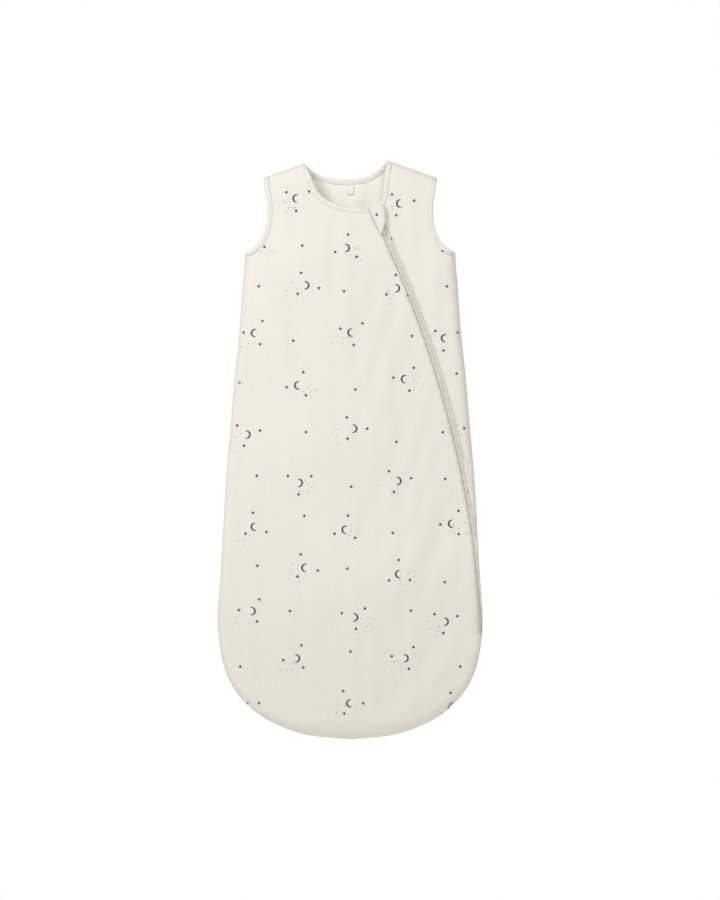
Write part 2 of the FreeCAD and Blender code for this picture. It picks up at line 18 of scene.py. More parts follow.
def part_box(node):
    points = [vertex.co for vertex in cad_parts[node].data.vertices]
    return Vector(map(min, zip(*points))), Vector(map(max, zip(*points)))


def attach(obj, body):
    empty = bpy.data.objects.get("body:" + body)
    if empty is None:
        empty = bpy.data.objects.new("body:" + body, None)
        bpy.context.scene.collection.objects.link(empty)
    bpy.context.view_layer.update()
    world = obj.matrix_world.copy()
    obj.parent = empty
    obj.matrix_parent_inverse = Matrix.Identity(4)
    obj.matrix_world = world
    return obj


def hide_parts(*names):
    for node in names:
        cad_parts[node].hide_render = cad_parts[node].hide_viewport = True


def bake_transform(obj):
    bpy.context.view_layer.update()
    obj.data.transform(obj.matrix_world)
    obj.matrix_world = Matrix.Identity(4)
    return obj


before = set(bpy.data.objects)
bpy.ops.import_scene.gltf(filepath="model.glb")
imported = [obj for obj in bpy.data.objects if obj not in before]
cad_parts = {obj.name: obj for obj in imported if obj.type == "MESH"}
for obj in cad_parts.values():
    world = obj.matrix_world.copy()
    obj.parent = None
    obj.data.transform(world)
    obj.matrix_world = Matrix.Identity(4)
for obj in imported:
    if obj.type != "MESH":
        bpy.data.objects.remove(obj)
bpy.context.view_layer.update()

MM = 0.001                            # metres in a millimetre

# ------------------------------------------------------------------ measures
# outlines as (x, z)
SIDE = [  # left side from the shoulder's level to the middle of the foot
    (126.7, 671.1), (127.1, 589.0), (129.8, 550.4), (134.0, 492.5), (140.0, 434.5),
    (144.8, 376.6), (149.9, 318.6), (153.3, 260.7), (156.5, 202.8), (160.0, 154.5),
    (159.8, 132.8), (157.5, 111.0), (152.7, 88.1), (145.4, 70.0), (134.6, 53.1),
    (119.5, 37.4), (105.0, 26.6), (90.5, 18.7), (76.0, 12.7), (61.6, 7.8),
    (41.0, 3.6), (0.0, 0.0)]
APEX = (0.1, 716.3)                   # closes the outline above the neck
NECK_FRONT = [  # right neck point to left neck point
    (-55.8, 696.4), (-51.2, 688.0), (-47.1, 678.3), (-42.8, 667.4), (-36.5, 657.6),
    (-28.2, 651.2), (-19.7, 646.8), (-9.4, 643.8), (4.1, 641.8), (19.1, 641.4),
    (29.9, 642.6), (36.7, 647.6), (39.6, 656.6), (41.2, 669.9), (42.7, 684.4), (45.6, 700.1)]
NECK_BACK = [
    (-55.8, 696.4), (-46.1, 688.0), (-34.0, 681.4), (-17.1, 677.6), (-0.2, 677.1),
    (14.2, 678.8), (26.3, 683.4), (36.0, 691.6), (45.6, 700.1)]
ARMHOLE = [  # left armhole from the shoulder to the underarm
    (105.0, 678.9), (104.0, 671.1), (102.6, 663.9), (100.8, 655.4), (99.7, 647.0),
    (99.5, 638.5), (99.9, 628.8), (101.6, 619.2), (105.0, 608.9), (109.8, 600.7),
    (117.1, 594.1), (127.0, 588.4)]
UNDERARM_Z = 587.0                    # the side outline is used below this
MIRROR = [-1, 1]
MIDDLE = np.array([0.0, 350.0])       # a plan point well inside the bag

FRONT_DEPTH = 18.0                    # front face to the seam plane, in the middle
BACK_DEPTH = 14.0
CREST_X = 15.0                        # the front slopes away outside this half-width
CREST_SOFT = 12.0                     # how softly the slope sets in
SLOPE = 9 / 135.0
TILT = math.atan(SLOPE)
SEAM_GAP = 0.1                        # each face starts this far from the seam plane
WALL = 6.2                            # thickness of the padded wall

# the zip's arc, in the plane of the sloping cloth (x measured from CREST_X)
ARC_X, ARC_Z, ARC_R = -1173.424, 53.962, 1323.69
ARC_DEG = math.degrees(1.0 / ARC_R)   # degrees per mm of arc
ZIP_TOP = 26.1                        # degrees
ZIP_STOP = ZIP_TOP - 15.6             # degrees, at the bottom stop
ZIP_HALF = 3.8                        # zip centre line to the cloth's cut edge
ZIP_NORMAL = np.array([math.sin(TILT), -math.cos(TILT), 0.0])

SPACING = 4.2       # point spacing of the cloth
RIM_ROWS = (0.35, 1.2, 2.8, 5.4)      # rows of points beside the rolled rim
FOLD = "fold"                         # marks pieces on the opening corner's folding side, left unattached


# ------------------------------------------------------------------ lines and fields
def clamp(value):
    return min(1.0, max(0.0, value))


def unit(vectors):
    return vectors / np.linalg.norm(vectors, axis=-1, keepdims=True)


def run_length(line):
    """length along a line, at each of its points"""
    return np.concatenate([[0], np.cumsum(np.linalg.norm(np.diff(line, axis=0), axis=1))])


def at_length(length, lengths, rows):
    return np.array([np.interp(length, lengths, rows[:, k]) for k in range(rows.shape[1])])


def catmull(points, step):
    """smooth curve through the points"""
    p = [np.array(q, float) for q in points]
    out = []
    for i in range(len(p) - 1):
        before = p[i - 1] if i > 0 else 2 * p[0] - p[1]
        after = p[i + 2] if i + 2 < len(p) else 2 * p[-1] - p[-2]
        here, there = p[i], p[i + 1]
        count = max(1, int(round(np.linalg.norm(there - here) / step)))
        for j in range(count):
            t = j / count
            out.append(0.5 * (2 * here + (there - before) * t
                              + (2 * before - 5 * here + 4 * there - after) * t * t
                              + (3 * here - 3 * there + after - before) * t ** 3))
    out.append(p[-1])
    return np.array(out)


def resample(line, step):
    line = np.asarray(line, float)
    lengths = run_length(line)
    count = max(2, int(round(lengths[-1] / step)) + 1)
    return at_length(np.linspace(0, lengths[-1], count), lengths, line).T


def line_dist(points, line, chunk=64):
    """distance of each plan point from a line"""
    points = np.asarray(points, float)
    best = np.full(len(points), 1e9)
    starts, ends = line[:-1], line[1:]
    for first in range(0, len(starts), chunk):
        a, b = starts[first:first + chunk], ends[first:first + chunk]
        ab = b - a
        square = (ab ** 2).sum(1) + 1e-12
        t = ((points[:, None, :] - a[None]) * ab[None]).sum(2) / square[None]
        nearest = a[None] + np.clip(t, 0, 1)[..., None] * ab[None]
        dist = np.sqrt(((points[:, None, :] - nearest) ** 2).sum(2)).min(1)
        best = np.minimum(best, dist)
    return best


def points_in(points, polygon):
    x, y = points[:, 0], points[:, 1]
    inside = np.zeros(len(points), bool)
    j = len(polygon) - 1
    for i in range(len(polygon)):
        xi, yi = polygon[i]
        xj, yj = polygon[j]
        inside ^= ((yi > y) != (yj > y)) & (x < (xj - xi) * (y - yi) / (yj - yi + 1e-30) + xi)
        j = i
    return inside


def crossing(line, other):
    """first crossing of two lines: (index in the first line, point)"""
    for i in range(len(line) - 1):
        a, b = line[i], line[i + 1]
        for j in range(len(other) - 1):
            c, d = other[j], other[j + 1]
            r, s = b - a, d - c
            den = r[0] * s[1] - r[1] * s[0]
            if abs(den) < 1e-12:
                continue
            t = ((c[0] - a[0]) * s[1] - (c[1] - a[1]) * s[0]) / den
            u = ((c[0] - a[0]) * r[1] - (c[1] - a[1]) * r[0]) / den
            if 0 <= t <= 1 and 0 <= u <= 1:
                return i, a + t * r
    raise ValueError("no crossing")


def inward_normals(plan, tangents):
    t = tangents / (np.linalg.norm(tangents, axis=1)[:, None] + 1e-12)
    normals = np.stack([t[:, 1], -t[:, 0]], 1)
    normals[((MIDDLE - plan) * normals).sum(1) < 0] *= -1
    return normals


def smooth_min(a, b, width):
    h = np.clip(0.5 + 0.5 * (b - a) / width, 0, 1)
    return b * (1 - h) + a * h - width * h * (1 - h)


def smooth_run(rows, rounds, closed):
    rows = rows.copy()
    for _ in range(rounds):
        if closed:
            rows = 0.5 * rows + 0.25 * (np.roll(rows, 1, 0) + np.roll(rows, -1, 0))
        else:
            rows[1:-1] = 0.5 * rows[1:-1] + 0.25 * (rows[:-2] + rows[2:])
    return rows


# ------------------------------------------------------------------ the puffed form
side_left = catmull(SIDE, 3.0)
side_right = side_left * MIRROR
OUTLINE = np.concatenate([side_left, side_right[::-1][1:], [list(APEX)], side_left[:1]])


def roof(x):
    """flat middle and sloping flanks of the front face"""
    t = np.abs(x) - CREST_X
    return FRONT_DEPTH - SLOPE * 0.5 * (t + np.sqrt(t * t + CREST_SOFT ** 2))


def height(plan, side):
    """how far the cloth's outer face stands from the seam, SEAM_GAP left out"""
    plan = np.asarray(plan, float)
    d = line_dist(plan, OUTLINE)
    if side == "front":
        rim = 19.6 * (d / 27.0) ** 0.47
        h = smooth_min(rim, roof(plan[:, 0]), 2.0)
    else:
        rim = 14.6 * (np.clip(d, 0, 22) / 22.0) ** 0.47
        h = smooth_min(rim, BACK_DEPTH, 1.6)
    return h * np.clip(d / 0.02, 0, 1)


def face_points(plan, side):
    h = height(plan, side)
    y = -h - SEAM_GAP if side == "front" else h + SEAM_GAP
    return np.stack([plan[:, 0], y, plan[:, 1]], 1)


def face_normals(plan, side, eps=0.05):
    """outward normals of the puffed form, turned flat outwards at the seam"""
    sign = -1.0 if side == "front" else 1.0
    slope_x = (height(plan + [eps, 0], side) - height(plan - [eps, 0], side)) / (2 * eps)
    slope_z = (height(plan + [0, eps], side) - height(plan - [0, eps], side)) / (2 * eps)
    normals = unit(np.stack([-slope_x, np.full(len(plan), sign), -slope_z], 1))
    starts, ends = OUTLINE[:-1], OUTLINE[1:]
    for i in np.where(line_dist(plan, OUTLINE) < 0.12)[0]:
        p = plan[i]
        j = np.argmin(((0.5 * (starts + ends) - p) ** 2).sum(1))
        t = ends[j] - starts[j]
        out = np.array([t[1], -t[0]]) / (np.linalg.norm(t) + 1e-12)
        if points_in((p + 2 * out)[None], OUTLINE)[0]:
            out = -out
        normals[i] = unit(np.array([out[0], sign * 0.05, out[1]]))
    return normals


def arc_plane(deg, radius):
    """point about the zip's arc centre, in the plane of the sloping cloth"""
    a = math.radians(deg)
    return ARC_X + radius * math.cos(a), ARC_Z + radius * math.sin(a)


def arc_point(deg, offset):
    """plan point beside the zip; offset runs from its centre line towards +X"""
    x, z = arc_plane(deg, ARC_R + offset)
    return CREST_X + x * math.cos(TILT), z


def arc_length(start, end):
    return abs(end - start) * math.radians(1) * ARC_R


def arc_angles(start, end, step):
    count = max(2, int(arc_length(start, end) / step))
    return [start + (end - start) * i / count for i in range(count + 1)]


# ------------------------------------------------------------------ mesh helpers
def mesh_object(name, points, faces, materials=(), smooth=True, material_index=None):
    mesh = bpy.data.meshes.new(name)
    mesh.from_pydata([tuple(float(c) * MM for c in v) for v in points], [],
                     [tuple(int(i) for i in f) for f in faces])
    mesh.update()
    obj = bpy.data.objects.new(name, mesh)
    bpy.context.scene.collection.objects.link(obj)
    if smooth:
        mesh.polygons.foreach_set("use_smooth", [True] * len(mesh.polygons))
    for material in materials:
        mesh.materials.append(material)
    if material_index is not None:
        mesh.polygons.foreach_set("material_index", material_index)
    mesh.update()
    return obj


def solid(name, points, faces, material, smooth=True, drop_loose=False):
    """closed mesh with its faces turned outwards"""
    obj = mesh_object(name, points, faces, [material], smooth)
    bm = bmesh.new()
    bm.from_mesh(obj.data)
    if drop_loose:
        loose = [v for v in bm.verts if not v.link_faces]
        bmesh.ops.delete(bm, geom=loose, context="VERTS")
    bmesh.ops.recalc_face_normals(bm, faces=bm.faces)
    bm.to_mesh(obj.data)
    bm.free()
    return obj


def tube_faces(rings, size, closed=False, start=0):
    """faces of a tube of rings; capped at its ends unless it closes on itself"""
    faces = []
    for i in range(rings if closed else rings - 1):
        here, there = start + i * size, start + (i + 1) % rings * size
        for j in range(size):
            k = (j + 1) % size
            faces.append((here + j, here + k, there + k, there + j))
    if not closed:
        last = start + (rings - 1) * size
        faces.append(tuple(range(start, start + size))[::-1])
        faces.append(tuple(range(last, last + size)))
    return faces


def triangulate(points, edges, kind, min_area=0.0):
    """plan triangulation with every triangle anticlockwise"""
    found = delaunay_2d_cdt([Vector((float(p[0]), float(p[1]))) for p in points],
                            edges, [], kind, 1e-5)
    plan = np.array([(p.x, p.y) for p in found[0]])
    tris = np.array([list(t) for t in found[2] if len(t) == 3], int).reshape(-1, 3)
    a = plan[tris[:, 1]] - plan[tris[:, 0]]
    c = plan[tris[:, 2]] - plan[tris[:, 0]]
    area = a[:, 0] * c[:, 1] - a[:, 1] * c[:, 0]
    tris[area < 0] = tris[area < 0][:, ::-1]
    return plan, tris[np.abs(area) >= min_area]


def ring_edges(count):
    return [(i, (i + 1) % count) for i in range(count)]


def slab_faces(tris, count, start=0):
    """top, bottom and rim of a slab whose bottom points follow its count top points"""
    faces = [tuple(t + start) for t in tris] + [tuple((t + start + count)[::-1]) for t in tris]
    sides = [(a, b) for t in tris for a, b in ((t[0], t[1]), (t[1], t[2]), (t[2], t[0]))]
    uses = Counter((min(a, b), max(a, b)) for a, b in sides)
    for a, b in sides:
        if uses[(min(a, b), max(a, b))] == 1:
            a, b = a + start, b + start
            faces.append((b, a, a + count, b + count))
    return faces


def bend_over_fold(obj):
    """bakes the piece's placement into its mesh; it is not bent"""
    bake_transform(obj)


def register(obj, slot, part, *replaced):
    """tells the frame what the piece replaces and what it moves with; slot is not used"""
    if replaced:
        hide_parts(*replaced)
    if part == FOLD:
        bend_over_fold(obj)
    else:
        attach(obj, part)


# ------------------------------------------------------------------ materials
def srgb(rgb):
    def linear(c):
        c /= 255.0
        return c / 12.92 if c <= 0.04045 else ((c + 0.055) / 1.055) ** 2.4
    return tuple(linear(c) for c in rgb) + (1.0,)


class Nodes:
    """node tree of a material or world, cleared to hold only its output"""
    def __init__(self, owner, output="ShaderNodeOutputMaterial"):
        owner.use_nodes = True
        self.tree = owner.node_tree
        self.tree.nodes.clear()
        self.output = self.node(output)

    def node(self, kind, inputs=None, **settings):
        """makes a node; inputs are values or the sockets to link from"""
        made = self.tree.nodes.new(kind)
        for key, value in settings.items():
            setattr(made, key, value)
        for key, value in (inputs or {}).items():
            if isinstance(value, bpy.types.NodeSocket):
                self.tree.links.new(value, made.inputs[key])
            else:
                made.inputs[key].default_value = value
        return made

    def math(self, operation, *inputs):
        made = self.node("ShaderNodeMath", dict(enumerate(inputs)), operation=operation)
        return made.outputs[0]

    def noise(self, vector, **inputs):
        inputs["Vector"] = vector
        return self.node("ShaderNodeTexNoise", inputs).outputs["Fac"]

    def remap(self, value, from_min=0.0, from_max=1.0, to_min=0.0, to_max=1.0):
        return self.node("ShaderNodeMapRange", {
            "Value": value, "From Min": from_min, "From Max": from_max,
            "To Min": to_min, "To Max": to_max}).outputs[0]

    def mix(self, factor, a, b):
        return self.node("ShaderNodeMix", {0: factor, 6: a, 7: b}, data_type="RGBA").outputs[2]

    def bump(self, height_, strength, distance):
        return self.node("ShaderNodeBump", {"Strength": strength, "Distance": distance,
                                            "Height": height_}).outputs[0]

    def finish(self, shader):
        self.tree.links.new(shader.outputs[0], self.output.inputs[0])


def fabric(name, base, low, warm, knit=0.9, bump=0.25, sheen=0.06):
    """fine cotton jersey; low is the painted shade between loops, warm the drift, knit the pitch
    """
    material = bpy.data.materials.new(name)
    nodes = Nodes(material)
    base = srgb(base)
    coords = nodes.node("ShaderNodeTexCoord").outputs["Object"]
    coords = nodes.node("ShaderNodeMapping", {"Vector": coords}).outputs[0]
    drift = nodes.noise(coords, Scale=7.0, Detail=2.0, Roughness=0.5)
    fuzz = nodes.noise(coords, Scale=420.0, Detail=3.0, Roughness=0.6)
    # wales run up the bag; courses cross them
    axes = nodes.node("ShaderNodeSeparateXYZ", {0: coords})
    pitch = knit * MM
    across = nodes.math("MULTIPLY", axes.outputs[0], 2 * math.pi / pitch)
    wale_wave = nodes.math("SINE", across)
    up = nodes.math("MULTIPLY", axes.outputs[2], 2 * math.pi / (pitch * 0.8))
    wales = nodes.math("ABSOLUTE", wale_wave)
    chevron = nodes.math("MULTIPLY_ADD", wales, 2.2, up)
    courses = nodes.math("SINE", chevron)
    loops = nodes.math("MULTIPLY_ADD", courses, 0.5, wales)
    relief = nodes.math("MULTIPLY_ADD", fuzz, 0.8, loops)
    normal = nodes.bump(relief, strength=bump, distance=0.00018)
    colour = nodes.mix(nodes.remap(drift, from_min=0.35, from_max=0.68), base, srgb(warm))
    # painted shade: the colour goes towards low in the knit's hollows
    hollow_shade = nodes.remap(relief, from_min=-0.6, from_max=1.6, to_min=0.55, to_max=0.0)
    colour = nodes.mix(hollow_shade, colour, srgb(low))
    # painted shade: the colour darkens and warms towards the foot end, up to 0.24 m
    position = nodes.node("ShaderNodeNewGeometry").outputs["Position"]
    level = nodes.node("ShaderNodeSeparateXYZ", {0: position}).outputs[2]
    foot = nodes.remap(level, from_max=0.24, to_min=1.0, to_max=0.0)
    foot_shade_colour = tuple(c * k for c, k in zip(base[:3], (0.885, 0.86, 0.835))) + (1.0,)
    colour = nodes.mix(nodes.math("MULTIPLY", foot, 0.85), colour, foot_shade_colour)
    nodes.finish(nodes.node("ShaderNodeBsdfPrincipled", {
        "Base Color": colour,
        "Roughness": nodes.remap(fuzz, to_min=0.84, to_max=0.98),
        "Sheen Weight": sheen,
        "Sheen Roughness": 0.45,
        "Specular IOR Level": 0.25,
        "Normal": normal}))
    return material


def plain(name, rgb, rough, coat=0.0, grain=900.0, bump=0.08, vary=0.06, spec=0.5,
          relief=0.0001):
    """one colour with a fine grain; vary darkens it, relief is the bump's depth in metres"""
    material = bpy.data.materials.new(name)
    nodes = Nodes(material)
    base = srgb(rgb)
    coords = nodes.node("ShaderNodeTexCoord").outputs["Object"]
    noise = nodes.noise(coords, Scale=grain, Detail=3.0)
    dark = tuple(c * (1 - 2 * vary) for c in base[:3]) + (1.0,)
    nodes.finish(nodes.node("ShaderNodeBsdfPrincipled", {
        "Base Color": nodes.mix(noise, base, dark),
        "Roughness": nodes.remap(noise, to_min=rough - 0.08, to_max=min(1.0, rough + 0.08)),
        "Coat Weight": coat,
        "Specular IOR Level": spec,
        "Normal": nodes.bump(noise, strength=bump, distance=relief)}))
    return material


M_OUTER = fabric("jersey_cream", base=(241, 238, 228), low=(227, 222, 210),
                 warm=(240, 234, 225))
M_LINING = fabric("jersey_lining", base=(248, 246, 238), low=(236, 231, 220),
                  warm=(247, 243, 234), knit=0.8)
M_BINDING = fabric("jersey_binding", base=(242, 238, 229), low=(226, 220, 209),
                   warm=(240, 234, 226), knit=0.7, bump=0.3)
M_GUARD = fabric("jersey_guard", base=(242, 239, 230), low=(229, 224, 213),
                 warm=(240, 236, 227), knit=0.7, bump=0.22)
M_TAPE = fabric("zip_tape_weave", base=(252, 246, 238), low=(242, 233, 223),
                warm=(251, 244, 236), knit=0.55, bump=0.3, sheen=0.1)
# painted shadow: dark brown for the strips along the zip's cut edges
M_EDGE_PAINTED_SHADOW = fabric("zip_edge_painted_shadow", base=(188, 171, 155), low=(172, 155, 139),
                warm=(185, 168, 152), knit=0.55, bump=0.3, sheen=0.0)
M_WADDING = plain("wadding_fibre", (246, 245, 242), 0.95, grain=260, bump=0.6, vary=0.03,
                  spec=0.1, relief=0.0008)
M_COIL = plain("zip_coil_nylon", (254, 250, 243), 0.42, grain=700, bump=0.05, vary=0.02)
M_STOP = plain("zip_stop_acetal", (222, 211, 200), 0.55, grain=500, bump=0.04, vary=0.04)
M_ENAMEL = plain("zip_acetal", (236, 227, 219), 0.33, coat=0.35, grain=500, bump=0.04,
                 vary=0.04)
M_THREAD = plain("thread", (233, 227, 216), 0.7, grain=2500, bump=0.5, vary=0.08, spec=0.2)
M_INK = plain("print_slate", (74, 87, 102), 0.8, grain=1500, bump=0.15, vary=0.16, spec=0.2)
M_DOT = plain("print_grey_dot", (178, 181, 180), 0.85, grain=1500, bump=0.15, vary=0.05,
              spec=0.2)
M_LABEL = plain("label_satin", (240, 238, 232), 0.45, grain=1800, bump=0.25, vary=0.03,
                spec=0.4)

# ------------------------------------------------------------------ panel boundaries
neck_front = catmull(NECK_FRONT, 2.0)
neck_back = catmull(NECK_BACK, 2.0)
armhole_left = catmull(ARMHOLE, 2.5)
armhole_right = armhole_left * MIRROR
low_left = side_left[side_left[:, 1] < UNDERARM_Z]       # underarm to foot
low_right = side_right[side_right[:, 1] < UNDERARM_Z]
shoulder_left = resample([neck_front[-1], armhole_left[0]], 3.0)
shoulder_right = resample([neck_front[0], armhole_right[0]], 3.0)
edge_left = resample(armhole_left, 2.5)
edge_right = resample(armhole_right, 2.5)

# cut edges of the two front panels along the zip, running down
zip_edge_main, zip_edge_side = (
    np.array([arc_point(a, offset) for a in arc_angles(30.0, 0.0, 2.5)])
    for offset in (-ZIP_HALF, ZIP_HALF))


def between(line, low, high):
    """points of a line more than 1 mm inside two heights"""
    return line[(line[:, 1] > low[1] + 1.0) & (line[:, 1] < high[1] - 1.0)]


index, main_top = crossing(neck_front, zip_edge_main)
_, main_low = crossing(side_left, zip_edge_main)
neck_main = np.vstack([neck_front[:index + 1], [main_top]])
index, side_top = crossing(neck_front[::-1], zip_edge_side)
_, side_low = crossing(side_left, zip_edge_side)
neck_side = np.vstack([neck_front[::-1][:index + 1], [side_top]])

# from the right neck point over shoulder, armhole, side and foot, then up the zip
BOUND_MAIN = np.vstack([
    shoulder_right[:-1], edge_right, low_right,
    low_left[low_left[:, 1] < main_low[1] - 1.0][::-1][1:], [main_low],
    between(zip_edge_main, main_low, main_top)[::-1], [main_top], neck_main[::-1][1:-1]])
# from the left neck point down the zip, up the side and armhole, along the shoulder
BOUND_SIDE = np.vstack([
    neck_side, between(zip_edge_side, side_low, side_top), [side_low],
    low_left[low_left[:, 1] > side_low[1] + 1.0][::-1], edge_left[::-1],
    shoulder_left[::-1][1:-1]])
BOUND_BACK = np.vstack([
    shoulder_right[:-1], edge_right, low_right, low_left[::-1][1:], edge_left[::-1],
    shoulder_left[::-1][1:], neck_back[::-1][1:-1]])


# ------------------------------------------------------------------ cloth panels
def sheet(boundary):
    """triangulated panel inside a boundary, finer near the rolled rim"""
    closed = np.vstack([boundary, boundary[:1]])
    low, high = boundary.min(0), boundary.max(0)
    xs = np.arange(low[0], high[0], SPACING)
    zs = np.arange(low[1], high[1], SPACING * 0.8660254)
    grid = np.array([(x + (SPACING / 2 if j % 2 else 0), z)
                     for j, z in enumerate(zs) for x in xs])
    grid = grid[(line_dist(grid, closed) > SPACING * 0.62)
                & (line_dist(grid, OUTLINE) > RIM_ROWS[-1] + SPACING * 0.55)]
    # rows that follow the rolled side of the bag, in step with the edge's own points
    on_rim = line_dist(boundary, OUTLINE) < 0.15
    before, after = np.roll(boundary, 1, 0), np.roll(boundary, -1, 0)
    last = (on_rim & ~np.roll(on_rim, -1))[:, None]
    first = (on_rim & ~np.roll(on_rim, 1))[:, None]
    tangents = np.where(last, boundary - before, after - before)
    tangents = np.where(first, after - boundary, tangents)
    inward = inward_normals(boundary, tangents)
    parts = [grid]
    for d in RIM_ROWS:
        row = (boundary + inward * d)[on_rim]
        parts.append(row[np.abs(line_dist(row, closed) - d) < 0.1 * d + 0.03])
    inner = np.vstack(parts)
    inner = inner[points_in(inner, boundary)]
    return triangulate(np.vstack([boundary, inner]), ring_edges(len(boundary)), 1, 1e-7)


def ripples(plan, rim, seed):
    """gentle upright ripples, fading out at the rim"""
    x, z = plan[:, 0], plan[:, 1]
    phase = seed * 1.7
    waves = (0.36 * np.sin(x / 6.3 + 0.9 * np.sin(z / 95.0 + phase) + phase)
             + 0.26 * np.sin(x / 3.9 + 1.3 * np.sin(z / 130.0 + 2 * phase) + 2.1)
             + 0.30 * np.sin(x / 11.5 - z / 160.0 + 0.7 * phase)
             + 0.25 * np.sin(z / 37.0 + x / 60.0 + phase))
    return waves * np.clip((rim - 3) / 30.0, 0, 1)


def relax(points, faces, pin, frames=18, slack=0.003, push=0.25):
    """relaxes a panel with the cloth simulation, pinned where it is sewn"""
    obj = mesh_object("sim_tmp", points, faces)
    group = obj.vertex_groups.new(name="pin")
    for i, weight in enumerate(pin):
        if weight > 0.01:
            group.add([i], float(weight), "REPLACE")
    modifier = obj.modifiers.new("cloth", "CLOTH")
    settings = modifier.settings
    settings.quality = 6
    settings.mass = 0.25
    settings.tension_stiffness = 12
    settings.compression_stiffness = 12
    settings.shear_stiffness = 6
    settings.bending_stiffness = 0.35
    settings.air_damping = 4.0
    settings.vertex_group_mass = "pin"
    settings.pin_stiffness = 1.0
    settings.shrink_min = -slack
    settings.shrink_max = -slack
    settings.use_pressure = True
    settings.uniform_pressure_force = push
    settings.effector_weights.gravity = 0.15
    modifier.collision_settings.use_collision = False
    modifier.point_cache.frame_start = 1
    modifier.point_cache.frame_end = frames
    scene = bpy.context.scene
    for frame_number in range(1, frames + 1):
        scene.frame_set(frame_number)
    moved = obj.evaluated_get(bpy.context.evaluated_depsgraph_get())
    coords = np.empty(len(moved.data.vertices) * 3)
    moved.data.vertices.foreach_get("co", coords)
    mesh = obj.data
    bpy.data.objects.remove(obj)
    bpy.data.meshes.remove(mesh)
    scene.frame_set(1)
    return coords.reshape(-1, 3) / MM


def smooth_over(tris, values, rounds):
    """averages a per-point value over neighbouring points"""
    edges = np.vstack([tris[:, [0, 1]], tris[:, [1, 2]], tris[:, [2, 0]]])
    for _ in range(rounds):
        total = np.zeros_like(values)
        count = np.zeros(len(values))
        for a, b in ((0, 1), (1, 0)):
            np.add.at(total, edges[:, a], values[edges[:, b]])
            np.add.at(count, edges[:, a], 1)
        values = 0.5 * values + 0.5 * total / np.maximum(count, 1)[:, None]
    return values


def point_normals(points, faces):
    a, b, c = (points[faces[:, k]] for k in range(3))
    across = np.cross(b - a, c - a)
    out = np.zeros_like(points)
    for k in range(3):
        np.add.at(out, faces[:, k], across)
    lengths = np.linalg.norm(out, axis=1)
    lengths[lengths == 0] = 1
    return out / lengths[:, None]


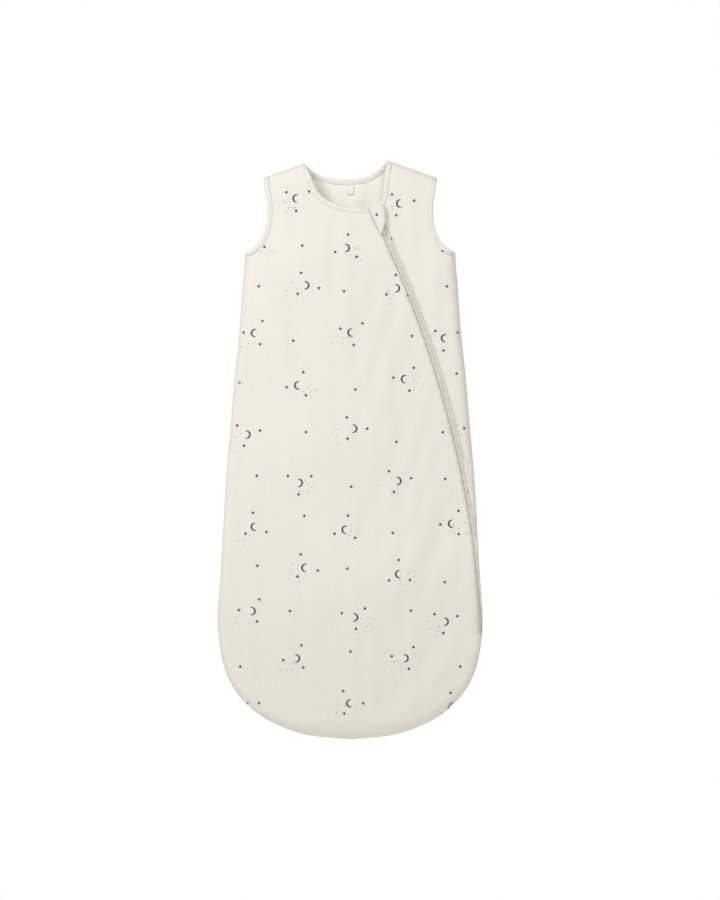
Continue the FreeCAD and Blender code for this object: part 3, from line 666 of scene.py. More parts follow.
class Panel:
    """one padded panel: its shape, how far it is squeezed, and its outer face"""
    def __init__(self, boundary, side, seed):
        self.side = side
        self.boundary = np.vstack([boundary, boundary[:1]])
        plan, tris = sheet(boundary)
        self.plan, self.tris = plan, tris
        self.faces = tris if side == "front" else tris[:, ::-1]
        points, normals = face_points(plan, side), face_normals(plan, side)
        # the seam is drawn in a little, so the two halves meet in a groove
        rim = line_dist(plan, OUTLINE)
        points = points - normals * (0.12 * np.exp(-(rim / 0.5)))[:, None]
        neck = neck_front if side == "front" else neck_back
        bound = np.minimum(line_dist(plan, neck), np.minimum(
            line_dist(plan, armhole_left), line_dist(plan, armhole_right)))
        zip_dist = np.full(len(plan), np.inf)
        if side == "front":
            off_arc = np.hypot((plan[:, 0] - CREST_X) / math.cos(TILT) - ARC_X,
                               plan[:, 1] - ARC_Z) - ARC_R
            zip_dist = np.abs(np.abs(off_arc) - ZIP_HALF)
            # beside the zip the plies stand square to its flat, clear of the slider's path
            low = ARC_Z + ARC_R * math.sin(math.radians(8.6))
            flat = np.exp(-(zip_dist / 5.0) ** 2) * np.clip((plan[:, 1] - low) / 10.0, 0, 1)
            normals = unit(normals * (1 - flat)[:, None] + ZIP_NORMAL * flat[:, None])
        calm = np.clip((bound - 6) / 22.0, 0, 1)
        zip_calm = np.clip((zip_dist - 3) / 22.0, 0, 1)
        points = points + normals * (ripples(plan, rim, seed) * calm * zip_calm)[:, None]
        points = points + self.settle(points, bound, rim, zip_dist)
        # the wadding is squeezed where a binding or the zip is sewn on, and at the rim
        self.bind_squeeze = 1 - 0.42 * np.exp(-np.maximum(bound - 4, 0) / 7.0)
        squeeze = np.minimum(self.bind_squeeze,
                             1 - 0.72 * np.exp(-np.maximum(zip_dist - 1.5, 0) / 6.0))
        self.squeeze = squeeze * (0.22 + 0.78 * (1 - np.exp(-np.maximum(rim, 0) / 7.0)))
        self.points, self.normals = points, normals
        self.rim, self.zip_dist = rim, zip_dist
        self.face = points - normals * self.depth(0.0)[:, None]
        self.face_normals = point_normals(self.face, self.faces)
        self.tree = BVHTree.FromPolygons([(float(p[0]), float(p[1]), 0.0) for p in plan],
                                         [tuple(int(i) for i in t) for t in tris])

    def settle(self, points, bound, rim, zip_dist, cap=2.4):
        """smoothed movement from the cloth simulation, capped in mm"""
        pin = np.maximum.reduce([np.clip(1 - (bound - 7) / 6.0, 0, 1),
                                 np.clip(1 - (rim - 0.5) / 4.0, 0, 1),
                                 np.clip(1 - (zip_dist - 3) / 6.0, 0, 1)])
        move = relax(points, self.faces, pin) - points
        size = np.linalg.norm(move, axis=1)
        move *= np.where(size > cap, cap / np.maximum(size, 1e-9), 1.0)[:, None]
        move *= (1 - pin)[:, None]
        return smooth_over(self.tris, move, 8)

    def depth(self, depth):
        """squeezed depth; near the zip the face stays and only the back comes forward"""
        sunk = (WALL / 2) * (1 - self.bind_squeeze) * np.clip(self.rim / 9.0, 0, 1)
        sunk = sunk * (1 - np.exp(-np.maximum(self.zip_dist - 1, 0) / 7.0))
        return sunk + depth * self.squeeze

    def at(self, x, z):
        """the face's point and outward normal at a plan point"""
        hit = self.tree.ray_cast(Vector((float(x), float(z), 5.0)), Vector((0, 0, -1)))
        if hit[0] is None:
            hit = self.tree.find_nearest(Vector((float(x), float(z), 0.0)))
        tri = self.tris[hit[2]]
        a, b, c = (self.plan[i] for i in tri)
        matrix = np.array([[b[0] - a[0], c[0] - a[0]], [b[1] - a[1], c[1] - a[1]]])
        u, v = np.linalg.solve(matrix, np.array([x - a[0], z - a[1]]))
        weights = np.clip(np.array([1 - u - v, u, v]), 0, 1)
        weights /= weights.sum()
        return weights @ self.face[tri], unit(weights @ self.face_normals[tri])

    def ply(self, name, near, far, material):
        """closed layer between two depths below the face"""
        top = self.points - self.normals * self.depth(near)[:, None]
        bottom = self.points - self.normals * self.depth(far)[:, None]
        return mesh_object(name, np.vstack([top, bottom]),
                           slab_faces(self.faces, len(top)), [material])


main = Panel(BOUND_MAIN, "front", 1)
side_panel = Panel(BOUND_SIDE, "front", 2)
back = Panel(BOUND_BACK, "back", 3)

PLIES = (  # name, near depth, far depth, material, slot
    ("outer", 0.0, 0.8, M_OUTER, "outer_jersey"),
    ("wadding", 1.1, 5.1, M_WADDING, "wadding"),
    ("lining", 5.4, 6.2, M_LINING, "lining_jersey"))
for panel_name, panel, part, replaced in (
        ("front_main", main, FOLD, ("front_main_", "front_flap_")),
        ("front_side", side_panel, "shell", ("front_side_",)),
        ("back", back, "shell", ("back_",))):
    for ply_name, near, far, material, slot in PLIES:
        register(panel.ply(f"{panel_name}_{ply_name}_cloth", near, far, material),
                 slot, part, *[prefix + ply_name for prefix in replaced])

# ------------------------------------------------------------------ stitches
STITCHES = {"shell": [], FOLD: []}


def stitch_run(line, normals, lengths, pitch=2.9, length=2.0, skip=1.0):
    """stitches along a line, each as (start, end, normal)"""
    out = []
    for i in range(int((lengths[-1] - 2 * skip) / pitch)):
        centre = skip + (i + 0.5) * pitch
        out.append((at_length(centre - length / 2, lengths, line),
                    at_length(centre + length / 2, lengths, line),
                    unit(at_length(centre, lengths, normals))))
    return out


STITCH_RINGS = (  # place along the stitch, size, lift
    (0.0, 0.35, -0.22), (0.18, 0.85, 0.02), (0.5, 1.0, 0.10), (0.82, 0.85, 0.02),
    (1.0, 0.35, -0.22))


def stitches(name, runs, radius=0.26, sides=6):
    points, faces = [], []
    for start, end, normal in runs:
        along = end - start
        length = np.linalg.norm(along)
        if length < 0.2:              # collapsed at a sharp turn
            continue
        along = along / length
        across = np.cross(along, normal)
        across /= np.linalg.norm(across) + 1e-9
        faces += tube_faces(len(STITCH_RINGS), sides, start=len(points))
        for place, size, lift in STITCH_RINGS:
            centre = start + along * length * place + normal * lift
            for q in range(sides):
                a = 2 * math.pi * q / sides
                spoke = across * math.cos(a) + normal * math.sin(a) * 0.8
                points.append(centre + spoke * radius * size)
    return mesh_object(name, points, faces, [M_THREAD])


# ------------------------------------------------------------------ bindings
BIND_WIDTH = 6.0
BIND_HALF = 1.8                       # half the squeezed wall inside the binding
BIND_CLOTH = 0.75                     # thickness of the strip


def binding_profile():
    """U-shaped section as (into the panel, along the outward normal)"""
    width, half = BIND_WIDTH, BIND_HALF
    outer = half + BIND_CLOTH
    front = [(width, half + 0.15), (width - 0.6, outer),
             (width - 2.0, outer + 0.12), (width - 3.6, outer + 0.12)]
    turn = []
    for k in range(9):
        a = math.pi / 2 + math.pi * k / 8
        turn.append((1.1 + 1.71 * math.cos(a), outer * math.sin(a) + (0.1 if k == 0 else 0)))
    inside = [(width - 0.4, -(half + 0.02)), (1.6, -(half - 0.1)), (1.2, 0.0),
              (1.6, half - 0.1), (width - 0.4, half + 0.02)]
    return front + turn + [(b, -c) for b, c in front[::-1]] + inside


def edge_curve(line, side):
    """points and outward normals on the cloth's face along a panel's edge"""
    plan = resample(line, 2.2)
    return face_points(plan, side), face_normals(plan, side)


def binding(name, node, points, normals, closed, centre, part):
    """strip folded over the padded wall's edge, with its row of stitches"""
    profile = binding_profile()
    tangents = np.roll(points, -1, 0) - np.roll(points, 1, 0)
    if not closed:
        tangents[0], tangents[-1] = points[1] - points[0], points[-1] - points[-2]
    into = unit(np.cross(unit(tangents), normals))
    away = (points - np.array(centre)) * [1, 0, 1]
    into *= np.where((into * away).sum(1) < 0, -1, 1)[:, None]
    at_rim = np.clip(line_dist(points[:, [0, 2]], OUTLINE) / 12.0, 0, 1)
    thin = 0.5 + 0.5 * at_rim         # the wall thins towards the rim
    base = points - normals * (WALL / 2 * thin)[:, None]
    lengths = run_length(points)
    verts = []
    for i, s in enumerate(lengths):
        pucker = 1 + 0.035 * math.sin(s / 1.9) + 0.03 * math.sin(s / 3.7 + 1)
        scale = pucker * (0.72 + 0.28 * thin[i])
        verts += [base[i] + into[i] * b + normals[i] * c * scale for b, c in profile]
    obj = solid(name, verts, tube_faces(len(points), len(profile), closed), M_BINDING)
    register(obj, "binding_jersey", part, node)
    row = base + into * 5.0 + normals * (BIND_HALF + 0.95)
    STITCHES[part] += stitch_run(row, normals, lengths)


def armhole_binding(name, node, line, sign):
    """closed loop down the armhole's front edge and up its back edge"""
    front, front_normals = edge_curve(line, "front")
    rear, rear_normals = edge_curve(line[::-1], "back")
    normals = unit(smooth_run(np.vstack([front_normals, rear_normals]), 6, True))
    points = smooth_run(np.vstack([front, rear]), 2, True)
    # the loop is drawn in at the shoulder's tip
    tip_x, tip_z = sign * ARMHOLE[0][0], ARMHOLE[0][1]
    tip = np.exp(-(np.hypot(points[:, 0] - tip_x, points[:, 2] - tip_z) / 6.0) ** 2)
    points = points + np.stack([-sign * 1.5 * tip, 0 * tip, -1.2 * tip], 1)
    binding(name, node, points, normals, True, (sign * 140.0, 0.0, 640.0), "shell")


armhole_binding("armhole_binding_left_strip", "armhole_binding_left", armhole_left, 1.0)
armhole_binding("armhole_binding_right_strip", "armhole_binding_right", armhole_right, -1.0)


def neck_bindings():
    """from the zip's left over the shoulder, behind the neck and down to the zip again"""
    left, left_normals = edge_curve(neck_side[::-1], "front")
    rear, rear_normals = edge_curve(neck_back[::-1], "back")
    right, right_normals = edge_curve(neck_main, "front")
    points = smooth_run(np.vstack([left, rear[1:-1], right]), 2, False)
    normals = np.vstack([left_normals, rear_normals[1:-1], right_normals])
    normals = unit(smooth_run(normals, 6, False))
    cut = len(left) + len(rear) - 2   # first point of the main panel's own edge
    for name, node, run, part in (
            ("neck_binding_strip", "neck_binding", slice(0, cut + 1), "shell"),
            ("front_neck_binding_strip", "flap_neck_binding", slice(cut, None), FOLD)):
        binding(name, node, points[run], normals[run], False, (0.0, 0.0, 722.0), part)


neck_bindings()


# ------------------------------------------------------------------ sewn seams
def seam_cord(name, line, half_width=0.55, half_depth=0.75, inset=0.42, sides=8):
    """rolled seam between the front and the back"""
    plan = resample(line, 2.6)
    inward = inward_normals(plan, np.gradient(plan, axis=0))
    verts = []
    for i in range(len(plan)):
        size = 0.35 if i in (0, len(plan) - 1) else 1.0
        uneven = 1 + 0.10 * math.sin(i * 1.9) + 0.08 * math.sin(i * 0.73)
        for k in range(sides):
            a = 2 * math.pi * k / sides
            x, z = plan[i] + inward[i] * (inset - half_width * size * math.cos(a) * uneven)
            verts.append((x, half_depth * size * math.sin(a), z))
    obj = solid(name, verts, tube_faces(len(plan), sides), M_OUTER)
    register(obj, "outer_jersey", "shell")


seam_cord("shoulder_seam_left", [[50.5, 698.35], [102.5, 679.8]])
seam_cord("shoulder_seam_right", [[-60.0, 694.9], [-102.5, 679.8]])
seam_cord("side_and_foot_seam", np.vstack([low_right, low_left[::-1][1:]]))

# ------------------------------------------------------------------ zip
FLAT_FROM = 15                        # degrees; above this the zip is clear of the side
CLEAR = 30.0                          # offset that stands for "no limit"
LIMIT_STEP = 0.06
LIMIT_ANGLES = np.arange(3.0, 16.01, 0.1)


def limit_table():
    """offset from the zip's centre line to the bag's side, for each of LIMIT_ANGLES"""
    offsets = np.arange(-12.0, 30.0, LIMIT_STEP)
    grid = np.array([arc_point(a, offset) for a in LIMIT_ANGLES for offset in offsets])
    inside = points_in(grid, OUTLINE).reshape(len(LIMIT_ANGLES), len(offsets))
    return np.array([CLEAR if row.all() else offsets[np.argmin(row)] - LIMIT_STEP
                     for row in inside])


LIMITS = limit_table()


def side_limit(deg):
    return float(np.interp(deg, LIMIT_ANGLES, LIMITS))


def clear_angle(deg, offset):
    """first angle from deg upwards where this offset is inside the bag"""
    while side_limit(deg) < offset:
        deg += 0.05
    return deg


# offsets of the parted coil loops: where they were, where they go
PART_FROM = (0.0, 0.06, 0.19, 1.3, 2.09, 2.6)
PART_TO = (0.5, 0.53, 0.8, 1.64, 2.22, 2.6)


def zip_point(deg, offset, depth):
    """point beside the zip, depth below the cloth's face; never past the side seam"""
    low = deg < FLAT_FROM
    limit = side_limit(deg) if low else CLEAR
    # the last loops above the bottom stop stand apart, where the slider's post parks
    along = (deg - ZIP_STOP) * math.radians(1) * ARC_R
    parted = clamp((along - 2.3) / 0.8) * clamp((7.1 - along) / 0.8)
    if parted > 0 and abs(offset) < PART_FROM[-1]:
        spread = float(np.interp(abs(offset), PART_FROM, PART_TO))
        offset = math.copysign(abs(offset) * (1 - parted) + spread * parted, offset)
    offset = min(offset, limit - 0.05 - 0.004 * (13.0 - offset))
    plan = np.array([arc_point(deg, offset)])
    x, z = plan[0]
    h = height(plan, "front")[0]
    normal = ZIP_NORMAL
    if low:
        curved = clamp((FLAT_FROM - deg) / 2.0)
        normal = unit(face_normals(plan, "front")[0] * curved + ZIP_NORMAL * (1 - curved))
    # the run of the slider stays on the flat of the zip
    flat = clamp((deg - 9.2) / 0.6) * clamp((6.0 - abs(offset)) / 2.6)
    h = h * (1 - flat) + (FRONT_DEPTH - SEAM_GAP - SLOPE * (x - CREST_X)) * flat
    normal = unit(normal * (1 - flat) + ZIP_NORMAL * flat)
    room = max(clamp((limit - offset - 0.1) / 4.0) if low else 1.0, flat)
    return np.array([x, -h - SEAM_GAP, z]) - normal * depth * (0.25 + 0.75 * room)


def strip(name, profile, start, end, material, step=2.5, taper=False):
    """strip along the zip; profile is its section as (offset, depth)"""
    angles = arc_angles(start, end, step)
    verts = []
    for a in angles:
        for offset, depth in profile:
            if taper:                 # widens from the foot end over 1.6 degrees
                offset = max(offset, -3.95 - 8.6 * clamp((a - start - 0.5) / 1.6))
            verts.append(zip_point(a, offset, depth))
    return solid(name, verts, tube_faces(len(angles), len(profile)), material)


def tape_profile(rows):
    return [(r, top) for r, top, _ in rows] + [(r, low) for r, _, low in rows[::-1]]


TAPE_LOW = 14.0                       # degrees, lowered until the side cuts the tape off
while side_limit(TAPE_LOW) > -3.72 and TAPE_LOW > 3.0:
    TAPE_LOW -= 0.05
# offset, depth of the tape's front and of its back
TAPE_MAIN = [(-12.5, 1.25, 1.75), (-8.0, 1.25, 1.75), (-5.0, 1.22, 1.7), (-3.4, 1.15, 1.65),
             (-2.6, 1.0, 1.5), (-1.3, 1.0, 1.5), (-0.06, 1.0, 1.5)]
TAPE_SIDE = [(0.06, 1.0, 1.5), (1.3, 1.0, 1.5), (2.6, 1.0, 1.5), (3.4, 1.15, 1.65),
             (5.0, 1.22, 1.7), (6.5, 1.25, 1.75), (8.0, 1.25, 1.75), (10.5, 1.25, 1.75)]
register(strip("zip_tape_main_cloth", tape_profile(TAPE_MAIN), TAPE_LOW, ZIP_TOP, M_TAPE,
               step=0.8, taper=True),
         "zip_tape", FOLD, "zip_tape_main", "zip_tape_main_foot")
register(strip("zip_tape_side_cloth", tape_profile(TAPE_SIDE), TAPE_LOW, ZIP_TOP, M_TAPE,
               step=0.8),
         "zip_tape", "shell", "zip_tape_side")

# narrow strips along the cloth's cut edges, coloured dark brown as painted shadow of those edges
# on the tape; sections as (offset, depth)
EDGE_SHADOW_TOP = 26.0                       # degrees
EDGE_SHADOW_MAIN = [(-3.95, 0.22), (-3.55, 0.18), (-3.1, 0.35), (-3.0, 0.75), (-3.9, 0.85)]
EDGE_SHADOW_SIDE = [(3.45, 0.6), (3.6, 0.4), (3.9, 0.42), (3.95, 0.85), (3.45, 0.85)]
register(strip("zip_edge_painted_shadow_main", EDGE_SHADOW_MAIN, TAPE_LOW + 0.2, EDGE_SHADOW_TOP, M_EDGE_PAINTED_SHADOW),
         "zip_tape", FOLD)
register(strip("zip_edge_painted_shadow_side", EDGE_SHADOW_SIDE, 12.4, EDGE_SHADOW_TOP, M_EDGE_PAINTED_SHADOW), "zip_tape", "shell")


def seam_roll(half_width=1.75, half_depth=2.3, inset=2.35, sides=10):
    """the side's seam allowance, rolled inside behind the zip's lower end"""
    angles = np.arange(TAPE_LOW - 0.35, 13.2, 0.1)
    verts = []
    for i, deg in enumerate(angles):
        x, z = arc_point(deg, side_limit(deg) - inset)
        size = 0.35 if i in (0, len(angles) - 1) else 1.0
        for j in range(sides):
            a = 2 * math.pi * j / sides
            verts.append((x + half_width * size * math.cos(a),
                          half_depth * size * math.sin(a), z))
    return solid("zip_end_seam_roll", verts, tube_faces(len(angles), sides), M_OUTER)


register(seam_roll(), "outer_jersey", "shell")


def coil(name, sign, start, end, pitch=1.3, wire=0.31, sides=5):
    """nylon coil of close flattened loops whose heads meet the other side's"""
    per_turn = 8
    total = int(arc_length(start, end) / pitch) * per_turn
    line = []
    for i in range(total + 1):
        phase = 2 * math.pi * i / per_turn
        reach = 1.14 + 0.95 * math.cos(phase + (0 if sign > 0 else math.pi))
        line.append(zip_point(start + (end - start) * i / total, sign * reach,
                              0.42 + 0.45 * math.sin(phase)))
    line = np.array(line)
    verts = []
    for point, tangent in zip(line, unit(np.gradient(line, axis=0))):
        across = np.cross(tangent, [0.0, -1.0, 0.0])
        if np.linalg.norm(across) < 1e-3:    # the wire runs straight along Y
            across = np.array([1.0, 0, 0])
        across = unit(across)
        other = np.cross(across, tangent)
        for q in range(sides):
            a = 2 * math.pi * q / sides
            verts.append(point + (across * math.cos(a) + other * math.sin(a)) * wire)
    return solid(name, verts, tube_faces(len(line), sides), M_COIL)


COIL_LOW = clear_angle(TAPE_LOW, 2.9)
COIL_TOP = ZIP_TOP + 2.4 * ARC_DEG
register(coil("zip_coil_main_loops", -1, COIL_LOW, COIL_TOP), "zip_coil", FOLD,
         "zip_coil_main", "zip_coil_main_foot")
register(coil("zip_coil_side_loops", 1, COIL_LOW, COIL_TOP), "zip_coil", "shell",
         "zip_coil_side")

for name in ("zip_top_stop_main", "zip_top_stop_side", "zip_bottom_stop", "slider_body",
             "slider_bail", "pull_tab"):
    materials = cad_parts[name].data.materials
    materials.clear()
    materials.append(M_STOP if name == "zip_bottom_stop" else M_ENAMEL)

# ------------------------------------------------------------------ zip guard
# a leaf over the zip's top; its base line runs beside the zip, from above the top downwards
LEAF_START = np.array(arc_plane(ZIP_TOP + 9.0 * ARC_DEG, ARC_R - 5.7))
LEAF_END = np.array(arc_plane(ZIP_TOP - 27.0 * ARC_DEG, ARC_R - 5.7))
LEAF_LENGTH = math.hypot(*(LEAF_END - LEAF_START))
LEAF_ALONG = (LEAF_END - LEAF_START) / LEAF_LENGTH
LEAF_ACROSS = np.array([-LEAF_ALONG[1], LEAF_ALONG[0]])
LEAF_FRONT = 6.42                     # lift of its front face off the cloth
LEAF_BELLY = 1.1


def leaf_point(p, lift):
    """point of the leaf at (along, across), lifted in front of the cloth's face"""
    x, z = LEAF_START + p[0] * LEAF_ALONG + p[1] * LEAF_ACROSS
    return np.array([CREST_X + x * math.cos(TILT) + lift * math.sin(TILT),
                     -FRONT_DEPTH + x * math.sin(TILT) - lift * math.cos(TILT), z])


def dome(plan):
    """slight belly across the leaf"""
    along, across = plan[:, 0], plan[:, 1]
    return (0.28 * np.sin(np.clip(across / 17.0, 0, 1) * math.pi)
            * np.sin(np.clip((along + 2) / 36.0, 0, 1) * math.pi))


def leaf_face(p, lift):
    return leaf_point(p, LEAF_FRONT + LEAF_BELLY * dome(np.array([p]))[0] + lift)


def leaf_outline(scale):
    """runs clockwise in (along, across)"""
    free = catmull([(0.5, 0.35), (-1.4, 8.5 * scale), (-0.8, 15.2 * scale),
                    (3.0, 17.3 * scale), (10.0, 16.3 * scale), (20.5, 12.8 * scale),
                    (28.5, 7.6 * scale), (LEAF_LENGTH - 0.5, 0.35)], 0.8)
    base = resample([[LEAF_LENGTH - 0.5, 0.35], [0.5, 0.35]], 0.9)[1:-1]
    return np.vstack([free, base])


def leaf(name, material, scale, rear, front, belly, grid, rolled):
    """soft flat piece with rolled edges, between the lifts rear and front"""
    outline = leaf_outline(scale)
    closed = np.vstack([outline, outline[:1]])
    low, high = outline.min(0), outline.max(0)
    inner = np.array([(x, z) for z in np.arange(low[1], high[1], grid)
                      for x in np.arange(low[0], high[0], grid)])
    inner = inner[points_in(inner, outline)]
    inner = inner[line_dist(inner, closed) > grid * 0.5]
    t = np.roll(outline, -1, 0) - np.roll(outline, 1, 0)
    t /= np.linalg.norm(t, axis=1)[:, None] + 1e-12
    row = outline + np.stack([t[:, 1], -t[:, 0]], 1) * rolled * 0.45
    plan, tris = triangulate(np.vstack([outline, row, inner]), ring_edges(len(outline)),
                             1, 1e-8)
    d = line_dist(plan, closed)
    full = np.sqrt(np.clip(1 - (1 - np.clip(d / rolled, 0, 1)) ** 2, 0, 1))
    lows, highs = rear + dome(plan), front + belly * dome(plan)
    mids = 0.5 * (lows + highs)
    verts = [leaf_point(p, mid + (lift - mid) * f)
             for lifts in (highs, lows) for p, mid, lift, f in zip(plan, mids, lifts, full)]
    # edge points are shared by both faces
    count = len(plan)
    rear_index = np.where(d < 1e-4, np.arange(count), np.arange(count) + count)
    faces = [tuple(t) for t in tris] + [tuple(rear_index[t[::-1]]) for t in tris]
    return solid(name, verts, faces, material, drop_loose=True)


register(leaf("zip_guard_leaf", M_GUARD, scale=1.0, rear=5.62, front=LEAF_FRONT,
              belly=LEAF_BELLY, grid=1.2, rolled=0.5),
         "outer_jersey", "zip_guard", "zip_guard_outer")
register(leaf("zip_guard_leaf_facing", M_LINING, scale=0.985, rear=5.12, front=5.58,
              belly=1.0, grid=1.5, rolled=0.3),
         "lining_jersey", "zip_guard", "zip_guard_facing")


def leaf_topstitch():
    """stitches just inside the leaf's free edge"""
    row = catmull([(2.2, 2.4), (0.2, 8.7), (1.0, 14.2), (3.6, 15.6), (9.6, 14.7),
                   (19.8, 11.2), (27.2, 6.6), (LEAF_LENGTH - 3.4, 2.2)], 0.5)
    line = np.array([leaf_face(p, 0.08) for p in row])
    runs = stitch_run(line, np.tile(ZIP_NORMAL, (len(line), 1)), run_length(line),
                      pitch=2.3, length=1.6, skip=0.3)
    return stitches("topstitch_guard", runs, radius=0.16)


register(leaf_topstitch(), "outer_jersey", "zip_guard")


def star(cx, cz, radius, turn):
    out = []
    for k in range(10):
        a = math.pi / 2 + turn + math.pi * k / 5
        r = radius if k % 2 == 0 else radius * 0.50
        out.append((cx + r * math.cos(a), cz + r * math.sin(a)))
    return out


def leaf_star():
    """one printed star on the leaf, turned to stand with it"""
    centre = (12.0, 5.6)
    cos_turn, sin_turn = 0.56, 0.83
    plan = [(centre[0] + x * cos_turn - z * sin_turn, centre[1] + x * sin_turn + z * cos_turn)
            for x, z in star(0, 0, 2.2, 0.15)] + [centre]
    verts = [leaf_face(p, lift) for lift in (0.10, -0.15) for p in plan]
    faces = []
    for k in range(10):
        n = (k + 1) % 10
        faces += [(k, n, 10), (11 + n, 11 + k, 21), (k, 11 + k, 11 + n, n)]
    return solid("print_guard_star", verts, faces, M_INK, smooth=False)


register(leaf_star(), "outer_jersey", "zip_guard")


def leaf_seam_fold():
    """fold where the leaf is sewn down along its base line"""
    sides, stations = 12, np.linspace(0.6, LEAF_LENGTH - 0.6, 30)
    verts = []
    for along in stations:
        for q in range(sides):
            across, up = 0.45 * math.cos(q * math.pi / 6), math.sin(q * math.pi / 6)
            verts.append(leaf_point((along, across), 2.55 + 2.0 * up + 0.35 * (abs(up) < 0.6)))
    return solid("zip_guard_seam_fold", verts, tube_faces(len(stations), sides), M_GUARD)


register(leaf_seam_fold(), "lining_jersey", "front_flap", "zip_guard_seam_strip")

# inner placket behind the zip, section as (offset, depth)
PLACKET = [(-2.6, 3.7), (-2.0, 3.55), (12.6, 3.6), (13.0, 3.8), (12.8, 4.15), (-2.0, 4.2),
           (-2.5, 4.05)]
register(strip("inner_placket_strip", PLACKET, ZIP_STOP - 20 * ARC_DEG, 26.4, M_LINING, 3.0),
         "lining_jersey", "shell", "inner_zip_placket")


def size_label(rows=14, columns=9):
    """blank folded label inside the back of the neck"""
    low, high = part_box("size_label")
    x0, x1 = low[0] / MM, high[0] / MM
    z0, z1 = low[2] / MM, high[2] / MM
    y0 = low[1] / MM
    near, far = [], []
    for k in range(rows + 1):
        f = k / rows
        bow = 0.25 * math.sin(math.pi * f)
        z = z1 - (z1 - z0) * f
        y = y0 + 0.55 - 0.35 * f - bow
        near.append((z, y))
        far.append((z, y + 0.42 + bow))
    section = near + far[::-1]
    verts = []
    for column in range(columns + 1):
        f = column / columns
        for z, y in section:
            curl = 0.18 * f ** 2 * (1 - (z - z0) / (z1 - z0))
            verts.append((x0 + (x1 - x0) * f, y - curl, z))
    return solid("size_label_blank", verts, tube_faces(columns + 1, len(section)), M_LABEL)


register(size_label(), "label_satin", "shell", "size_label")


# ------------------------------------------------------------------ print
def moon(cx, cz, radius, turn, flip, steps=20):
    """slim crescent that tapers to round tips, as a closed outline"""
    start, end = math.radians(72), math.radians(288)
    outer, inner = [], []
    for k in range(steps + 1):
        f = k / steps
        a = start + (end - start) * f
        width = 0.15 + 0.28 * math.sin(math.pi * f) ** 0.85
        at_tip = k in (0, steps)
        r_out = radius * (0.96 if at_tip else 1.0)
        r_in = radius * (1 - width * (0.7 if at_tip else 1.0))
        outer.append((r_out * math.cos(a), r_out * math.sin(a)))
        inner.append((r_in * math.cos(a), r_in * math.sin(a)))
    out = []
    for x, z in outer + inner[::-1]:
        if flip:
            x = -x
        out.append((cx + x * math.cos(turn) - z * math.sin(turn),
                    cz + x * math.sin(turn) + z * math.cos(turn)))
    return out[::-1] if flip else out


def dot(cx, cz, radius):
    return [(cx + radius * math.cos(math.pi * k / 4), cz + radius * math.sin(math.pi * k / 4))
            for k in range(8)]


class Unroll:
    """turns length along the cloth across the bag into a plan position"""
    STEP = 6.0

    def __init__(self, side):
        self.xs = np.arange(-161.0, 161.01, 0.5)
        self.rows = []
        for z in np.arange(0.0, 716.0, self.STEP):
            plan = np.stack([self.xs, np.full(len(self.xs), z)], 1)
            h = np.where(points_in(plan, OUTLINE), height(plan, side), 0.0)
            lengths = run_length(np.stack([self.xs, h], 1))
            self.rows.append(lengths - np.interp(0.0, self.xs, lengths))

    def plan(self, length, z):
        k = np.clip(z / self.STEP, 0, len(self.rows) - 1.001)
        i = int(k)
        f = k - i
        row = self.rows[i] * (1 - f) + self.rows[i + 1] * f
        return float(np.interp(length, row, self.xs)), z


def motifs():
    """moons (x, z, flip, tilt in tenths of a radian) and stars (x, z) on the opened-out cloth

    Half-drop repeat: columns 60 apart, 112 drop, every place nudged by a sine.
    """
    moons, stars = [], []
    for i in range(-3, 4):
        for j in range(-1, 7):
            x = 60.0 * i + 6.0 * math.sin(2.3 * j + 1.1 * i)
            z = 38.0 + 112.0 * j + (56.0 if i % 2 else 0.0) + 7.0 * math.cos(1.7 * j + 0.6 * i)
            if abs(x) > 172 or z < -8 or z > 705:
                continue
            moons.append((x, z, (i + j) % 2, (1, 0, -1, 0)[(3 * i + j) % 4]))
            turn = 0.9 * i + 0.7 * j
            for k in range(3):
                reach = 15.5 + 1.8 * math.sin(2.0 * k + i + j)
                a = turn + 2.09 * k
                stars.append((x + reach * math.cos(a), z + reach * math.sin(a)))
            stars.append((x + 9.0 * math.sin(i - 2.0 * j), z + 55.0 + 8.0 * math.cos(1.3 * i + j)))
    return moons, stars


MOONS, STARS = motifs()
INK, DOT = 0, 1                       # material slots of a print


def shapes():
    """every motif as (outline, material slot); each moon has a spray of dots to one side"""
    random = np.random.RandomState(11)
    out = []
    for x, z, flip, tilt in MOONS:
        out.append((moon(x, z, 5.1, tilt * 0.1, flip), INK))
        way = 1 if random.rand() > 0.5 else -1
        for _ in range(9):
            a = random.rand() * 2 * math.pi
            reach = 3 + 11 * random.rand()
            out.append((dot(x + way * 13 + reach * math.cos(a), z - 9 + reach * math.sin(a),
                            0.5 + 0.3 * random.rand()), DOT))
    for x, z in STARS:
        out.append((star(x, z, 2.35, 0.3 * math.sin(x * 1.3 + z)), INK))
    return out


def cut_out(outline, boundary):
    """triangles of the part of an outline that lies inside a panel's boundary"""
    inside = points_in(outline, boundary)
    if not inside.any():
        return outline, []
    points, edges = list(outline), ring_edges(len(outline))
    clip = not inside.all()
    if clip:
        near = ((boundary - outline.mean(0)) ** 2).sum(1) < 20 ** 2
        for i in range(len(boundary) - 1):
            if near[i] or near[i + 1]:
                points += [boundary[i], boundary[i + 1]]
                edges.append((len(points) - 2, len(points) - 1))
    plan, tris = triangulate(points, edges, 0)
    centres = plan[tris].mean(1)
    keep = points_in(centres, outline)
    if clip:
        keep &= points_in(centres, boundary)
    tris = tris[keep]
    used = np.unique(tris)
    return plan[used], np.searchsorted(used, tris)


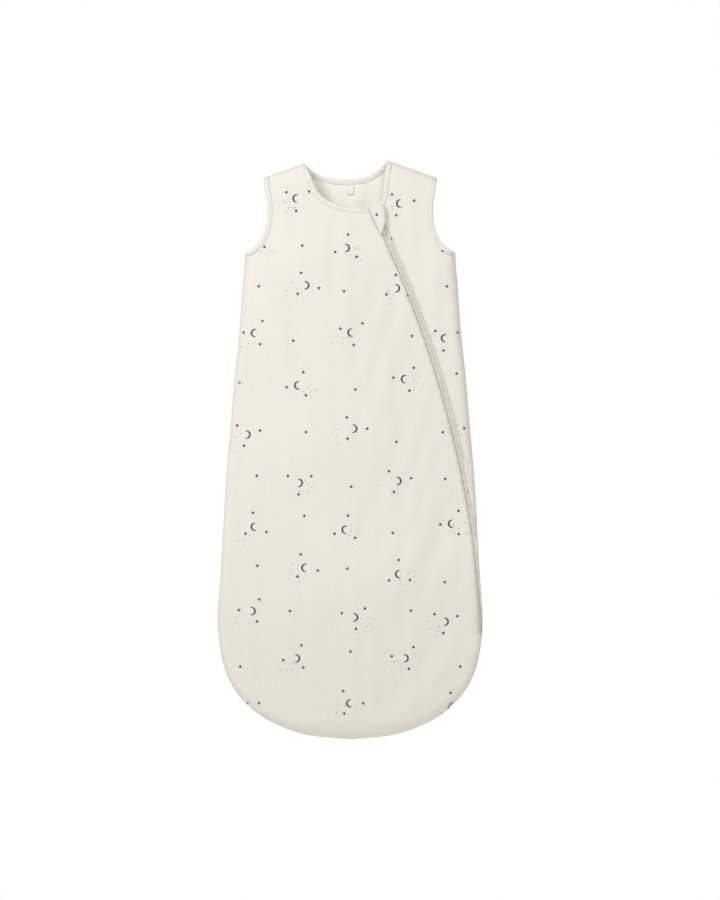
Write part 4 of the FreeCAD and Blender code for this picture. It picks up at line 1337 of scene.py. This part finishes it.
def prints(name, panel, mirror=1.0, shift_z=0.0):
    """thin printed shapes lying on a panel's face"""
    unroll = UNROLL[panel.side]
    verts, faces, slots = [], [], []
    for shape, slot in shapes():
        outline = np.array([unroll.plan(mirror * x, z + shift_z) for x, z in shape])
        if mirror < 0:
            outline = outline[::-1]
        plan, tris = cut_out(outline, panel.boundary)
        if not len(tris):
            continue
        if panel.side == "back":
            tris = tris[:, ::-1]
        hits = [panel.at(x, z) for x, z in plan]
        raised = 0.09 if slot == INK else 0.06
        new_faces = slab_faces(tris, len(plan), start=len(verts))
        verts += [p + n * raised for p, n in hits]
        verts += [p - n * 0.2 for p, n in hits]
        faces += new_faces
        slots += [slot] * len(new_faces)
    return mesh_object(name, verts, faces, [M_INK, M_DOT], False, slots)


UNROLL = {"front": Unroll("front"), "back": Unroll("back")}
register(prints("print_main_moons", main), "outer_jersey", FOLD)
register(prints("print_side_moons", side_panel), "outer_jersey", "shell")
register(prints("print_back_moons", back, mirror=-1.0, shift_z=-6.0), "outer_jersey", "shell")

# ------------------------------------------------------------------ topstitching
# beside the zip: offset, top angle, panel, what it moves with
for offset, top, panel, part in ((-ZIP_HALF - 1.7, 24.6, main, FOLD),
                                 (ZIP_HALF + 1.7, 26.6, side_panel, "shell")):
    low = clear_angle(TAPE_LOW + 0.3, offset + 1.6)
    hits = [panel.at(*arc_point(a, offset)) for a in np.linspace(top, low, 170)]
    line = np.array([p + n * 0.12 for p, n in hits])
    STITCHES[part] += stitch_run(line, np.array([n for _, n in hits]), run_length(line))

register(stitches("topstitch_shell", STITCHES["shell"]), "binding_jersey", "shell")
register(stitches("topstitch_fold", STITCHES[FOLD]), "binding_jersey", FOLD)

# ------------------------------------------------------------------ floor, light, camera
FLOOR_X, FLOOR_Y, FLOOR_Z = 1600, 300, -238
WHITE = (1, 1, 1, 1)


def make_floor():
    material = bpy.data.materials.new("floor_white")
    nodes = Nodes(material)
    nodes.finish(nodes.node("ShaderNodeBsdfPrincipled", {
        "Roughness": 0.9,
        "Emission Color": WHITE,
        "Emission Strength": 0.16,
        "Base Color": (0.93, 0.93, 0.93, 1)}))
    corners = [(x * FLOOR_X, y * FLOOR_Y, FLOOR_Z)
               for x, y in ((-1, -1), (1, -1), (1, 1), (-1, 1))]
    return mesh_object("floor", corners, [(0, 1, 2, 3)], [material], smooth=False)


def make_world():
    """white world, dimmer as a light than as the camera sees it"""
    world = bpy.data.worlds.new("studio")
    bpy.context.scene.world = world
    nodes = Nodes(world, "ShaderNodeOutputWorld")
    lighting = nodes.node("ShaderNodeBackground", {"Color": WHITE, "Strength": 0.48})
    backdrop = nodes.node("ShaderNodeBackground", {"Color": WHITE, "Strength": 1.0})
    camera_ray = nodes.node("ShaderNodeLightPath").outputs["Is Camera Ray"]
    nodes.finish(nodes.node("ShaderNodeMixShader", {
        0: camera_ray, 1: lighting.outputs[0], 2: backdrop.outputs[0]}))


def area_light(name, location, target, size, power, colour=(1, 1, 1)):
    """disk light aimed at a target; metres and watts"""
    light = bpy.data.lights.new(name, "AREA")
    light.shape = "DISK"
    light.size = size
    light.energy = power
    light.color = colour
    obj = bpy.data.objects.new(name, light)
    bpy.context.scene.collection.objects.link(obj)
    obj.location = location
    aim = Vector(target) - Vector(location)
    obj.rotation_euler = aim.to_track_quat("-Z", "Y").to_euler()


def make_camera(distance=5.0, view_height=1.0863, sensor=24.0):
    """level camera in front; view_height is what it sees at the bag, in metres"""
    data = bpy.data.cameras.new("camera")
    obj = bpy.data.objects.new("camera", data)
    bpy.context.scene.collection.objects.link(obj)
    obj.location = (0.0118, -0.012 - distance, 0.350)
    obj.rotation_euler = (math.radians(90), 0, 0)
    data.sensor_fit = "VERTICAL"
    data.sensor_height = sensor
    data.lens = sensor * distance / view_height
    data.clip_end = 50
    bpy.context.scene.camera = obj


make_floor()
make_world()
SOFT_WHITE = (1.0, 0.995, 0.985)
area_light("key", (-1.3, -1.55, 1.6), target=(0, 0, 0.42), size=0.75, power=20.5,
           colour=SOFT_WHITE)
area_light("front_fill", (0.15, -2.6, 1.2), target=(0, 0, 0.5), size=1.4, power=17.5,
           colour=SOFT_WHITE)
area_light("side_fill", (1.7, -1.2, 0.7), target=(0, 0, 0.35), size=1.2, power=2.5)
area_light("back_fill", (0.6, 2.0, 1.2), target=(0, 0, 0.4), size=1.4, power=14)
make_camera()
bpy.context.scene.view_settings.view_transform = "Standard"
